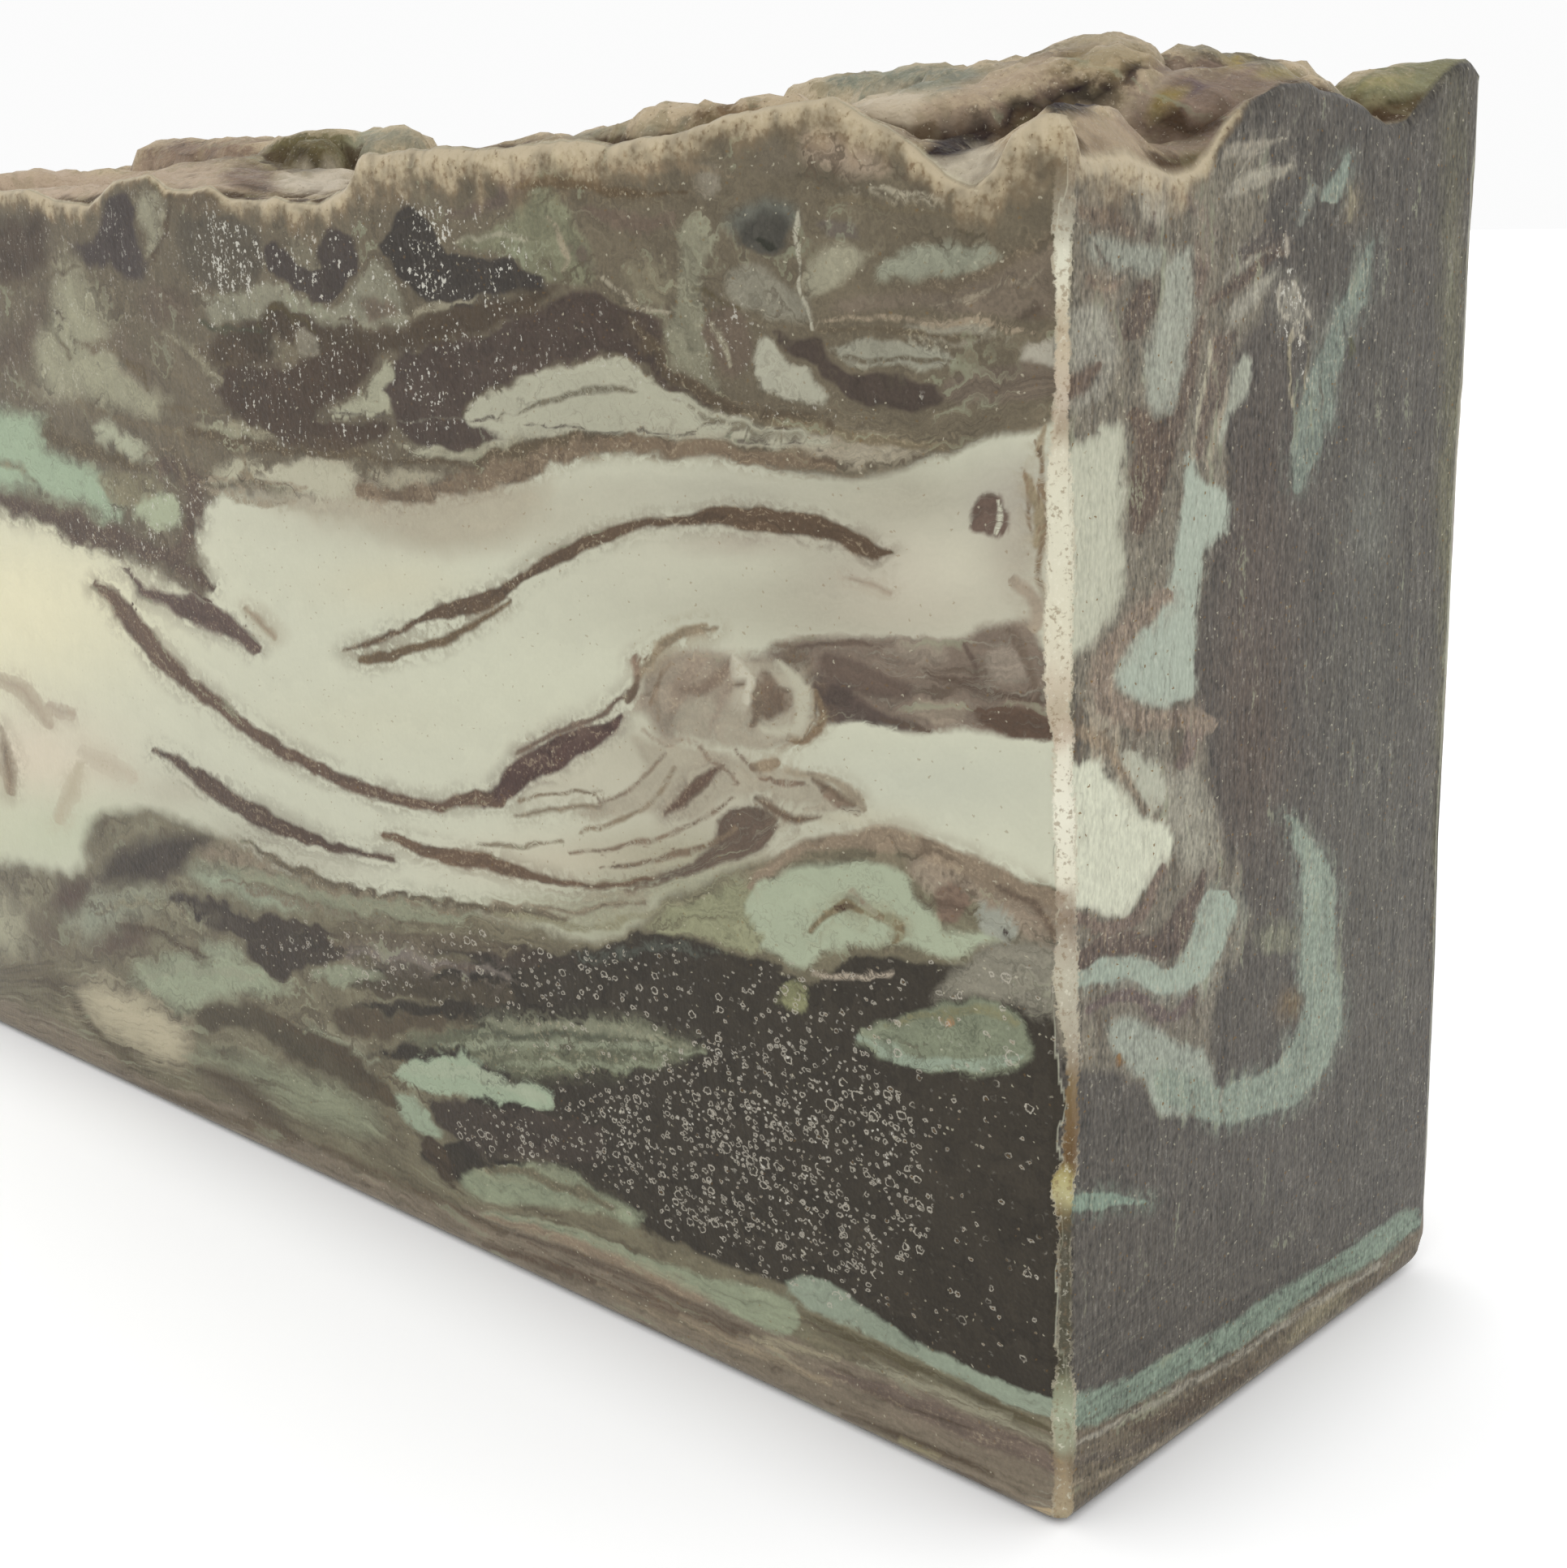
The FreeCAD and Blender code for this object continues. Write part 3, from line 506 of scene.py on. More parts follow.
field(3, (83, 74, 68), 5.7, (480, 440), (520, 430), (560, 420), (610, 408), (650, 388), (700, 363), (722, 354), (743, 362), (760, 380), (800, 385), (813, 395), (806, 425), (816, 450), (841, 475), (872, 491), (902, 506), (890, 511), (850, 496), (810, 471), (788, 446), (760, 432), (720, 440), (660, 462), (600, 482), (571, 500), (566, 520), (600, 532), (625, 541), (590, 551), (550, 553), (515, 546), (490, 536), (478, 510), (482, 480))
field(3, (84, 75, 65), 11, (250, 420), (300, 400), (330, 372), (380, 385), (420, 405), (470, 405), (510, 395), (560, 372), (620, 365), (680, 350), (705, 352), (640, 392), (560, 420), (480, 440), (400, 440), (330, 452), (270, 460))
field(3, (112, 104, 88), 9.5, (315, 385), (340, 380), (375, 395), (400, 405), (400, 425), (370, 445), (340, 455), (315, 440), (308, 410))
field(3, (82, 74, 68), 5.7, (945, 400), (965, 412), (990, 418), (1020, 415), (1018, 440), (1030, 455), (1080, 462), (1130, 468), (1162, 478), (1162, 500), (1120, 509), (1080, 505), (1050, 490), (1015, 470), (995, 450), (960, 430))
field(3, (112, 102, 90), 9.5, (1175, 458), (1240, 448), (1270, 440), (1292, 470), (1292, 490), (1240, 502), (1190, 505), (1165, 497), (1160, 480))
field(3, (116, 106, 93), 11.4, (1255, 312), (1293, 290), (1300, 340), (1297, 392), (1240, 396), (1180, 386), (1120, 376), (1080, 381), (1040, 386), (1020, 376), (1060, 364), (1120, 354), (1200, 340))
field(3, (96, 86, 76), 9.5, (1240, 372), (1285, 368), (1295, 385), (1260, 397), (1235, 390))
field(3, (104, 97, 88), 7.6, (995, 275), (1060, 273), (1072, 285), (1060, 295), (1008, 289))
field(3, (82, 80, 74), 10, (918, 265), (950, 258), (978, 272), (972, 300), (950, 317), (925, 312), (898, 297))
field(3, (110, 98, 86), 9.5, (700, 238), (730, 248), (760, 262), (800, 268), (830, 262), (842, 270), (800, 291), (760, 286), (720, 266))
field(3, (100, 90, 82), 11.4, (620, 205), (650, 195), (662, 215), (650, 240), (620, 255), (600, 262), (560, 272), (545, 268), (580, 255), (610, 240))
field(3, (108, 97, 85), 9.5, (875, 375), (890, 365), (905, 380), (915, 400), (926, 430), (926, 455), (905, 470), (885, 455), (872, 430), (868, 400))
field(3, (112, 104, 90), 17.1, (930, 180), (960, 170), (985, 195), (985, 225), (950, 225), (925, 205))
field(3, (104, 95, 84), 7.6, (700, 300), (715, 303), (735, 325), (745, 335), (725, 332), (705, 318))
field(3, (76, 70, 64), 7.6, (110, 1085), (130, 1055), (160, 1040), (190, 1030), (225, 1025), (255, 1030), (262, 1042), (240, 1050), (225, 1075), (200, 1088), (170, 1092), (140, 1092))
field(3, (88, 76, 68), 7.6, (65, 1088), (90, 1078), (120, 1088), (110, 1100), (90, 1110), (82, 1135), (68, 1130), (60, 1110))
field(3, (76, 70, 64), 5.7, (200, 1110), (215, 1100), (250, 1105), (280, 1115), (310, 1130), (345, 1128), (385, 1140), (430, 1152), (500, 1150), (560, 1155), (620, 1166), (700, 1178), (720, 1186), (640, 1190), (560, 1180), (500, 1170), (450, 1166), (400, 1185), (370, 1195), (355, 1205), (330, 1200), (310, 1185), (305, 1160), (270, 1145), (230, 1135), (205, 1125))
field(3, (100, 90, 78), 9.5, (30, 1130), (45, 1125), (65, 1145), (82, 1172), (72, 1178), (50, 1160))
field(3, (95, 84, 74), 9.5, (110, 1160), (140, 1150), (150, 1135), (165, 1140), (185, 1150), (180, 1165), (160, 1175), (135, 1180), (115, 1175))
field(3, (98, 90, 76), 13.3, (-150, 1170), (-50, 1175), (0, 1178), (40, 1185), (80, 1200), (95, 1215), (80, 1222), (50, 1212), (20, 1215), (0, 1205), (-60, 1200), (-150, 1200))
field(3, (88, 82, 70), 7.6, (240, 1250), (255, 1238), (285, 1235), (310, 1240), (345, 1255), (380, 1265), (410, 1275), (420, 1290), (440, 1310), (470, 1320), (475, 1345), (485, 1360), (470, 1365), (440, 1350), (410, 1325), (370, 1315), (350, 1295), (320, 1270), (290, 1265), (260, 1270), (242, 1265))
field(3, (98, 90, 78), 9.5, (245, 1320), (275, 1318), (310, 1335), (330, 1350), (350, 1375), (370, 1398), (350, 1400), (320, 1385), (290, 1360), (255, 1340))
field(3, (80, 72, 64), 5.7, (515, 1405), (530, 1395), (545, 1410), (550, 1430), (562, 1452), (550, 1461), (535, 1446), (520, 1426))
field(3, (78, 72, 66), 5.7, (520, 1352), (560, 1356), (600, 1365), (650, 1370), (690, 1385), (740, 1380), (760, 1440), (700, 1436), (650, 1432), (610, 1432), (580, 1422), (550, 1397), (530, 1372))
field(3, (84, 78, 68), 7.6, (450, 1180), (500, 1185), (560, 1205), (620, 1205), (640, 1225), (620, 1245), (570, 1235), (520, 1232), (470, 1225), (430, 1222), (440, 1205), (490, 1208))
field(3, (92, 84, 72), 7.6, (400, 1240), (440, 1240), (480, 1250), (540, 1252), (600, 1250), (560, 1262), (500, 1275), (450, 1280), (415, 1262))
field(3, (123, 111, 99), 11.4, (985, 780), (1010, 785), (1060, 783), (1120, 785), (1180, 790), (1205, 772), (1240, 770), (1265, 760), (1275, 790), (1287, 830), (1292, 870), (1297, 905), (1260, 912), (1220, 905), (1180, 895), (1140, 905), (1120, 900), (1080, 888), (1030, 888), (1012, 893), (1005, 870), (1000, 830), (960, 820), (930, 815), (920, 810), (940, 800))
field(3, (147, 137, 121), 15.2, (800, 812), (840, 800), (890, 805), (907, 812), (902, 832), (880, 847), (850, 852), (835, 882), (840, 912), (820, 918), (800, 892), (778, 872), (790, 835))
vein(3, (104, 88, 76), 4.5, (118, 722, 4), (135, 738, 9), (152, 757, 12), (175, 785, 12), (205, 818, 11), (240, 850, 9), (270, 872, 9), (300, 895, 9), (340, 920, 8), (380, 945, 8), (420, 960, 9), (450, 975, 8), (490, 985, 7), (530, 993, 6), (560, 988, 7), (590, 985, 9), (612, 985, 10))
vein(3, (90, 75, 70), 4.5, (600, 990, 5), (620, 975, 12), (650, 945, 17), (690, 925, 18), (720, 912, 16), (750, 898, 11), (766, 886, 2))
vein(3, (98, 84, 71), 4.5, (425, 800, 2), (460, 793, 3.5), (500, 772, 3.5), (530, 758, 7), (555, 750, 12), (590, 745, 12), (620, 728, 7.5), (650, 705, 7), (680, 690, 9), (715, 672, 9), (750, 657, 8), (790, 647, 5.5), (830, 643, 5), (870, 638, 10), (900, 637, 13), (940, 640, 16), (980, 645, 13), (1020, 658, 12), (1050, 668, 13), (1080, 683, 9), (1098, 683, 3))
vein(4, (108, 94, 76), 4.8, (445, 812, 5), (475, 808, 9), (500, 802, 6), (540, 792, 6), (570, 778, 5), (600, 760, 4), (625, 742, 3))
vein(3, (94, 82, 73), 6, (-150, 588, 8), (-60, 603, 10), (0, 618, 9), (30, 630, 10), (60, 638, 8), (80, 645, 14), (100, 652, 18), (125, 663, 16), (150, 668, 10), (175, 678, 10), (205, 690, 10), (230, 702, 8), (260, 722, 5))
vein(3, (98, 86, 76), 6, (195, 572, 6), (215, 570, 10), (230, 590, 12), (240, 610, 12), (238, 640, 10), (235, 665, 12), (215, 685, 10))
vein(3, (98, 84, 77), 6, (150, 708, 4), (180, 733, 7), (215, 745, 10), (240, 750, 18), (265, 765, 16), (290, 780, 12), (312, 797, 6))
vein(3, (150, 138, 118), 6, (303, 753, 3), (325, 770, 5), (337, 783, 3))
vein(3, (92, 79, 70), 4.5, (190, 925, 3), (220, 940, 7), (250, 960, 9), (280, 985, 11), (310, 1000, 12), (350, 1022, 10), (400, 1040, 7), (440, 1053, 4), (480, 1058, 3))
vein(3, (110, 93, 78), 4.5, (475, 1030, 5), (495, 1035, 8), (530, 1050, 8), (560, 1060, 12), (590, 1060, 10), (620, 1070, 10), (650, 1080, 7), (700, 1092, 3.5), (750, 1097, 3.5), (800, 1085, 4))
vein(3, (166, 152, 132), 15, (-40, 840, 8), (10, 835, 8), (35, 860, 10), (60, 890, 6))
vein(3, (130, 115, 95), 9, (0, 895, 2), (8, 940, 12), (12, 975, 5))
vein(3, (166, 152, 134), 12, (60, 870, 5), (90, 880, 5))
vein(3, (188, 178, 157), 18, (100, 925, 6), (140, 945, 11), (160, 955, 7))
vein(3, (180, 170, 146), 13.5, (97, 945, 5), (85, 980, 8), (75, 1010, 6))
vein(3, (106, 90, 79), 6, (820, 1004, 1.5), (836, 992, 7), (852, 975, 9), (866, 960, 9), (886, 947, 2))
field(3, (101, 89, 79), 7.6, (880, 1010), (900, 995), (935, 990), (955, 1003), (960, 1020), (945, 1040), (920, 1055), (880, 1070), (850, 1080), (820, 1090), (790, 1098), (762, 1102), (790, 1085), (830, 1070), (860, 1055), (880, 1035))
vein(3, (140, 126, 106), 4.5, (930, 944, 6), (955, 940, 5))
vein(3, (156, 146, 126), 6, (975, 950, 4), (1000, 955, 5), (1030, 962, 5), (1050, 983, 9), (1058, 993, 6))
vein(3, (140, 126, 108), 7.5, (925, 1092, 4), (950, 1070, 7), (975, 1050, 8), (1000, 1037, 9), (1040, 1035, 12), (1090, 1033, 14), (1130, 1040, 14), (1170, 1058, 13), (1210, 1075, 16), (1250, 1095, 14), (1300, 1112, 14))
field(3, (142, 130, 114), 11.4, (1115, 1050), (1170, 1062), (1220, 1072), (1270, 1098), (1303, 1105), (1303, 1172), (1262, 1160), (1240, 1132), (1200, 1112), (1150, 1100), (1120, 1080))
vein(3, (148, 136, 112), 4.5, (1262, 590, 5), (1270, 610, 8), (1280, 640, 8), (1275, 668, 5))
vein(3, (150, 138, 115), 6, (1290, 527, 5), (1282, 560, 6))
vein(3, (162, 150, 132), 6, (1040, 712, 3), (1070, 720, 4), (1100, 732, 3))
vein(3, (160, 148, 130), 7.5, (1250, 720, 8), (1275, 740, 10), (1270, 770, 8))
vein(3, (150, 136, 112), 6, (800, 815, 3), (815, 790, 7), (835, 780, 5), (865, 772, 4))
# layer 4: what lies over those patches
field(4, (125, 130, 110), 10.2, (1050, 1290), (1060, 1273), (1090, 1265), (1120, 1250), (1150, 1235), (1190, 1228), (1230, 1235), (1265, 1260), (1279, 1290), (1275, 1305), (1250, 1318), (1220, 1325), (1200, 1328), (1150, 1318), (1110, 1308), (1070, 1300))
field(4, (147, 153, 129), 6.8, (590, 1490), (650, 1498), (720, 1516), (780, 1540), (830, 1560), (880, 1574), (920, 1584), (972, 1597), (988, 1625), (977, 1650), (940, 1640), (900, 1617), (860, 1592), (820, 1577), (760, 1553), (700, 1532), (640, 1514), (590, 1502))
field(4, (145, 154, 136), 5.1, (960, 1576), (990, 1574), (1020, 1582), (1050, 1600), (1080, 1624), (1110, 1642), (1150, 1662), (1200, 1688), (1250, 1712), (1300, 1728), (1330, 1740), (1330, 1776), (1290, 1757), (1250, 1738), (1200, 1709), (1150, 1684), (1100, 1660), (1060, 1642), (1010, 1618), (975, 1598))
field(4, (120, 104, 91), 6.8, (1145, 1092), (1175, 1085), (1200, 1105), (1190, 1125), (1170, 1140), (1155, 1120))
field(4, (92, 82, 76), 6.8, (990, 825), (1040, 840), (1060, 863), (1090, 878), (1130, 892), (1152, 900), (1100, 898), (1050, 888), (1015, 893), (1000, 870), (1002, 850))
field(4, (95, 81, 71), 6.8, (1195, 870), (1240, 868), (1280, 880), (1294, 905), (1265, 915), (1235, 905), (1205, 890))
field(4, (112, 98, 85), 7, (932, 826), (948, 824), (957, 838), (962, 850), (978, 852), (980, 866), (970, 880), (952, 888), (938, 884), (926, 870), (933, 852))
vein(4, (128, 112, 92), 4, (1003, 855, 3), (1012, 885, 5), (1005, 900, 6), (985, 913, 4), (965, 912, 2))
vein(4, (128, 111, 96), 6.4, (775, 862, 4), (788, 838, 6), (785, 812, 4))
field(4, (104, 90, 81), 6.8, (1188, 655), (1195, 625), (1210, 605), (1228, 610), (1240, 630), (1242, 650), (1232, 664), (1213, 659))
vein(4, (125, 115, 92), 4.8, (1000, 1150, 4), (1020, 1130, 5), (1045, 1115, 7), (1070, 1130, 4), (1100, 1132, 5), (1115, 1140, 7), (1105, 1157, 4))
vein(4, (122, 108, 91), 6.4, (450, 606, 6), (480, 612, 10), (530, 608, 10), (570, 598, 11), (620, 582, 14), (660, 570, 14), (700, 553, 14), (740, 545, 12), (790, 548, 9), (850, 553, 8), (900, 558, 9), (960, 565, 9), (1020, 570, 7))
vein(4, (98, 88, 73), 4.8, (230, 530, 4), (270, 538, 7), (300, 548, 7), (340, 556, 6), (400, 560, 5), (450, 565, 4), (520, 568, 3.5), (570, 572, 4), (620, 560, 5), (660, 548, 5), (700, 540, 5), (760, 536, 4))
field(4, (88, 90, 82), 6.8, (700, 1180), (800, 1160), (850, 1165), (900, 1180), (860, 1175), (800, 1172), (740, 1188))
vein(4, (120, 112, 104), 6.4, (440, 1176, 4), (500, 1182, 6), (560, 1190, 6), (620, 1200, 5))
# layer 5: thin lines
vein(5, (192, 190, 170), 3, (1229, 622, 2.5), (1233, 640, 3.5), (1226, 655, 2.5))
vein(5, (122, 113, 97), 3.6, (270, 1085, 2.5), (330, 1105, 3.5), (400, 1122, 3.5), (470, 1135, 3))
vein(4, (128, 119, 101), 4.8, (350, 1075, 2.5), (400, 1098, 3.5), (470, 1108, 3), (540, 1118, 3.5), (640, 1134, 3))
vein(5, (130, 121, 103), 3.6, (590, 1040, 3), (640, 1043, 3), (690, 1035, 2.5))
vein(5, (128, 116, 98), 3.6, (640, 985, 2.5), (700, 977, 3), (740, 975, 2.5))
vein(4, (132, 121, 103), 4.8, (640, 1004, 2.5), (700, 998, 3), (740, 992, 2.5))
vein(5, (134, 122, 103), 3.6, (720, 1025, 2.5), (770, 1010, 3), (810, 985, 3), (830, 950, 3))
vein(4, (132, 122, 104), 4.8, (600, 1116, 2.5), (660, 1122, 3.5), (720, 1122, 3), (790, 1112, 3))
vein(5, (106, 95, 83), 3.6, (640, 1524, 3), (720, 1548, 5), (800, 1583, 5), (860, 1612, 5), (940, 1650, 4))
vein(4, (116, 104, 94), 5, (1020, 1690, 3), (1090, 1716, 10), (1160, 1744, 13), (1230, 1776, 13), (1300, 1806, 10))
vein(5, (104, 92, 80), 3.6, (600, 1535, 4), (680, 1560, 6), (760, 1590, 5), (840, 1615, 5), (900, 1645, 4))
vein(5, (150, 142, 120), 4.8, (930, 1648, 4), (980, 1662, 6), (1030, 1674, 4))
vein(5, (94, 88, 72), 3.6, (990, 1618, 3), (1030, 1640, 6), (1090, 1668, 6), (1150, 1696, 6), (1210, 1726, 6), (1270, 1754, 4), (1310, 1774, 2))
vein(5, (106, 96, 82), 4.8, (160, 1335, 4), (230, 1360, 7), (300, 1385, 6), (360, 1405, 5))
vein(5, (104, 94, 80), 4.8, (400, 1415, 4), (450, 1440, 5), (500, 1462, 4), (560, 1490, 5), (620, 1518, 4))
vein(5, (98, 88, 76), 4.8, (1040, 1745, 4), (1100, 1768, 6), (1160, 1790, 5), (1220, 1815, 4))
vein(5, (170, 166, 148), 2.4, (980, 262, 2), (980, 300, 3), (984, 340, 2), (990, 380, 3), (1000, 405, 2))
vein(5, (152, 145, 126), 3.6, (750, 340, 3), (768, 365, 4), (790, 383, 3), (815, 382, 2))
vein(5, (96, 88, 71), 3.6, (850, 352, 2), (885, 365, 3), (915, 385, 3))
vein(5, (166, 155, 138), 3.6, (1000, 1200, 3), (1050, 1198, 4), (1095, 1199, 3))
vein(5, (122, 108, 94), 3.6, (905, 925, 2.5), (920, 942, 3), (950, 960, 2.5))

# the knot of swirls right of the middle
field(2, (160, 152, 134), 10, (790, 822), (850, 800), (930, 806), (1000, 800), (1005, 850), (1010, 900), (960, 930), (920, 925), (860, 918), (826, 908), (800, 880))
field(2, (167, 160, 141), 9, (760, 905), (820, 912), (880, 925), (940, 940), (1000, 945), (1045, 975), (1050, 1000), (1000, 1005), (960, 985), (900, 980), (870, 1010), (840, 1015), (800, 1000), (760, 1010), (720, 1015), (700, 1000), (760, 980), (800, 950))
field(2, (186, 184, 164), 7, (950, 1030), (985, 1000), (1010, 1010), (1050, 1010), (1060, 1025), (1000, 1032), (965, 1050), (945, 1060))
vein(4, (181, 177, 157), 7, (956, 812, 2), (984, 840, 9), (992, 868, 9), (985, 892, 7), (965, 902, 5), (945, 900, 4))
vein(5, (132, 119, 103), 4, (742, 988, 2.5), (775, 975, 3), (800, 952, 3), (818, 930, 2.5))
vein(5, (134, 120, 104), 4, (858, 920, 2), (872, 940, 3), (890, 948, 3), (905, 965, 2))
vein(5, (128, 113, 98), 4, (935, 960, 3), (960, 968, 5), (985, 966, 4))
vein(5, (128, 113, 98), 4, (1010, 975, 3), (1035, 992, 6), (1052, 1000, 4))
vein(4, (116, 102, 90), 4, (640, 925, 3), (680, 905, 4), (720, 890, 4), (752, 872, 4), (775, 850, 3))
vein(4, (140, 128, 108), 5, (770, 862, 2), (788, 835, 4), (802, 810, 5), (822, 788, 6), (850, 778, 5), (880, 776, 3))
vein(5, (124, 110, 94), 3, (800, 870, 2), (812, 850, 3.5), (816, 826, 2.5))
# end face
field(2, (122, 116, 103), 8, (1322, 200), (1400, 190), (1450, 218), (1490, 196), (1530, 176), (1560, 190), (1570, 230), (1555, 280), (1548, 330), (1570, 345), (1560, 390), (1530, 430), (1515, 470), (1518, 520), (1520, 600), (1515, 640), (1500, 670), (1492, 700), (1484, 740), (1476, 800), (1478, 850), (1488, 900), (1494, 950), (1499, 1000), (1516, 1040), (1531, 1080), (1532, 1110), (1545, 1135), (1533, 1180), (1503, 1222), (1500, 1290), (1490, 1380), (1440, 1385), (1400, 1335), (1365, 1320), (1322, 1310))
field(2, (112, 103, 89), 5, (1322, 1760), (1400, 1725), (1500, 1672), (1600, 1605), (1700, 1545), (1760, 1500), (1790, 1600), (1700, 1700), (1500, 1850), (1322, 1920))
field(3, (188, 188, 168), 9, (1318, 575), (1345, 545), (1378, 512), (1390, 530), (1384, 565), (1388, 610), (1384, 660), (1390, 700), (1380, 740), (1365, 775), (1347, 800), (1335, 835), (1318, 845))
field(3, (205, 206, 185), 6, (1318, 930), (1350, 935), (1370, 950), (1390, 980), (1410, 1005), (1440, 1020), (1450, 1035), (1440, 1060), (1425, 1080), (1405, 1110), (1390, 1130), (1370, 1132), (1350, 1122), (1318, 1112))
field(3, (178, 178, 160), 6, (1372, 925), (1400, 922), (1430, 942), (1442, 972), (1430, 1000), (1410, 995), (1390, 970))
field(3, (168, 176, 161), 5, (1455, 560), (1467, 600), (1452, 640), (1446, 690), (1440, 730), (1415, 770), (1390, 800), (1375, 830), (1385, 855), (1420, 868), (1460, 868), (1480, 860), (1477, 800), (1478, 750), (1483, 700), (1497, 670), (1517, 645), (1522, 620), (1515, 598), (1490, 600), (1470, 558))
field(3, (158, 160, 146), 7, (1412, 440), (1428, 405), (1432, 360), (1440, 320), (1462, 300), (1478, 320), (1472, 370), (1478, 410), (1472, 450), (1462, 490), (1448, 525), (1425, 512), (1412, 480))
field(3, (146, 148, 135), 9, (1340, 292), (1370, 288), (1400, 300), (1425, 300), (1440, 315), (1430, 335), (1400, 340), (1370, 330), (1345, 325))
field(3, (158, 152, 136), 8, (1408, 205), (1438, 215), (1452, 235), (1446, 265), (1425, 280), (1408, 262), (1400, 230))
field(3, (146, 143, 130), 8, (1330, 385), (1358, 375), (1380, 420), (1372, 470), (1350, 505), (1328, 515))
field(3, (150, 146, 132), 6, (1508, 388), (1530, 362), (1560, 336), (1585, 322), (1588, 336), (1560, 362), (1530, 392), (1512, 404))
field(3, (142, 137, 124), 6, (1500, 345), (1525, 318), (1555, 298), (1580, 288), (1584, 300), (1556, 316), (1528, 340), (1508, 360))
field(3, (158, 160, 145), 6, (1520, 450), (1545, 432), (1552, 450), (1538, 480), (1522, 510), (1512, 540), (1502, 545), (1506, 500))
field(3, (150, 155, 142), 7, (1360, 1262), (1400, 1255), (1440, 1270), (1462, 1288), (1490, 1292), (1497, 1330), (1490, 1375), (1440, 1385), (1400, 1320), (1370, 1290))
field(3, (118, 117, 101), 12, (1553, 1140), (1590, 1128), (1612, 1150), (1600, 1176), (1570, 1182), (1543, 1165))
field(3, (126, 139, 124), 5, (1322, 1730), (1370, 1706), (1420, 1682), (1470, 1657), (1510, 1634), (1560, 1601), (1600, 1578), (1650, 1549), (1700, 1510), (1745, 1486), (1760, 1500), (1745, 1524), (1700, 1550), (1650, 1580), (1600, 1611), (1560, 1642), (1500, 1680), (1450, 1705), (1400, 1734), (1350, 1759), (1322, 1774))
vein(3, (158, 168, 153), 5, (1292, 1207, 12), (1360, 1195, 15), (1400, 1192, 13), (1440, 1215, 18), (1470, 1200, 22), (1485, 1160, 26), (1500, 1125, 24))
vein(3, (138, 148, 134), 7, (1590, 1012, 6), (1605, 1040, 12), (1625, 1068, 17), (1626, 1120, 20), (1628, 1200, 22), (1627, 1260, 24), (1612, 1310, 28), (1580, 1342, 27), (1540, 1358, 24), (1500, 1365, 26), (1465, 1350, 22), (1440, 1330, 14))
vein(3, (121, 129, 118), 6, (1693, 296, 2), (1684, 330, 8), (1671, 375, 12), (1657, 400, 8), (1643, 440, 15), (1630, 480, 19), (1618, 520, 21), (1610, 560, 18), (1600, 600, 8))
vein(3, (132, 141, 129), 5, (1662, 196, 5), (1654, 220, 10), (1642, 242, 9))
vein(3, (128, 130, 120), 6, (1622, 230, 4), (1615, 255, 8), (1608, 272, 5))
vein(3, (129, 144, 129), 4, (1292, 1478, 14), (1345, 1483, 12), (1390, 1480, 6), (1418, 1480, 2))
vein(4, (100, 88, 78), 7, (1402, 515, 10), (1425, 540, 22), (1420, 580, 25), (1408, 620, 20), (1404, 650, 7))
vein(4, (106, 95, 85), 6, (1478, 400, 4), (1470, 440, 7), (1462, 490, 9), (1448, 530, 10), (1440, 545, 8))
vein(4, (100, 90, 81), 6, (1408, 352, 10), (1405, 380, 24), (1400, 404, 16))
vein(4, (134, 121, 107), 8, (1438, 735, 10), (1410, 758, 14), (1380, 790, 14), (1355, 830, 14), (1365, 870, 16), (1400, 885, 14), (1440, 885, 14), (1480, 890, 12))
vein(4, (120, 107, 98), 6, (1450, 880, 8), (1470, 905, 9), (1455, 940, 6))
vein(4, (116, 103, 93), 4, (1292, 1125, 5), (1340, 1136, 7), (1370, 1146, 8), (1400, 1138, 9), (1418, 1110, 7), (1432, 1070, 4))
vein(4, (99, 88, 80), 4, (1300, 1190, 8), (1335, 1183, 10), (1370, 1165, 10), (1415, 1168, 10), (1440, 1168, 14), (1458, 1135, 11), (1478, 1100, 7), (1488, 1078, 3))
vein(4, (106, 95, 90), 4, (1345, 1247, 5), (1372, 1230, 8), (1400, 1228, 8), (1428, 1250, 8), (1450, 1254, 7), (1468, 1236, 5))
vein(4, (118, 106, 93), 8, (1340, 262, 8), (1362, 268, 12), (1390, 280, 8))
vein(4, (126, 113, 99), 8, (1345, 345, 6), (1360, 358, 8), (1378, 350, 5))
vein(4, (112, 99, 88), 7, (1318, 480, 14), (1335, 470, 12), (1352, 455, 7))
vein(4, (100, 89, 80), 6, (1498, 372, 5), (1530, 345, 7), (1556, 322, 7), (1582, 306, 7))
vein(4, (112, 101, 91), 5, (1503, 420, 5), (1494, 470, 6), (1487, 520, 6), (1480, 560, 5))
vein(4, (118, 106, 95), 6, (1476, 300, 4), (1482, 330, 7), (1478, 360, 5))
vein(4, (104, 94, 85), 5, (1520, 410, 5), (1510, 450, 5), (1500, 500, 4))
vein(4, (142, 128, 109), 8, (1335, 905, 8), (1360, 915, 8), (1380, 940, 5), (1395, 975, 4), (1415, 1003, 3))
vein(4, (98, 88, 77), 6, (1400, 1762, 4), (1450, 1742, 8), (1490, 1718, 7), (1540, 1690, 4))
vein(4, (138, 130, 109), 8, (1590, 1650, 4), (1625, 1618, 13), (1655, 1595, 9))
vein(4, (106, 98, 88), 6, (1322, 1800, 5), (1400, 1790, 7), (1480, 1745, 6))
vein(5, (166, 160, 140), 4, (1492, 425, 2), (1486, 470, 3), (1479, 520, 3), (1470, 565, 2))
vein(5, (150, 141, 124), 4, (1512, 470, 2), (1500, 540, 3), (1494, 590, 2))
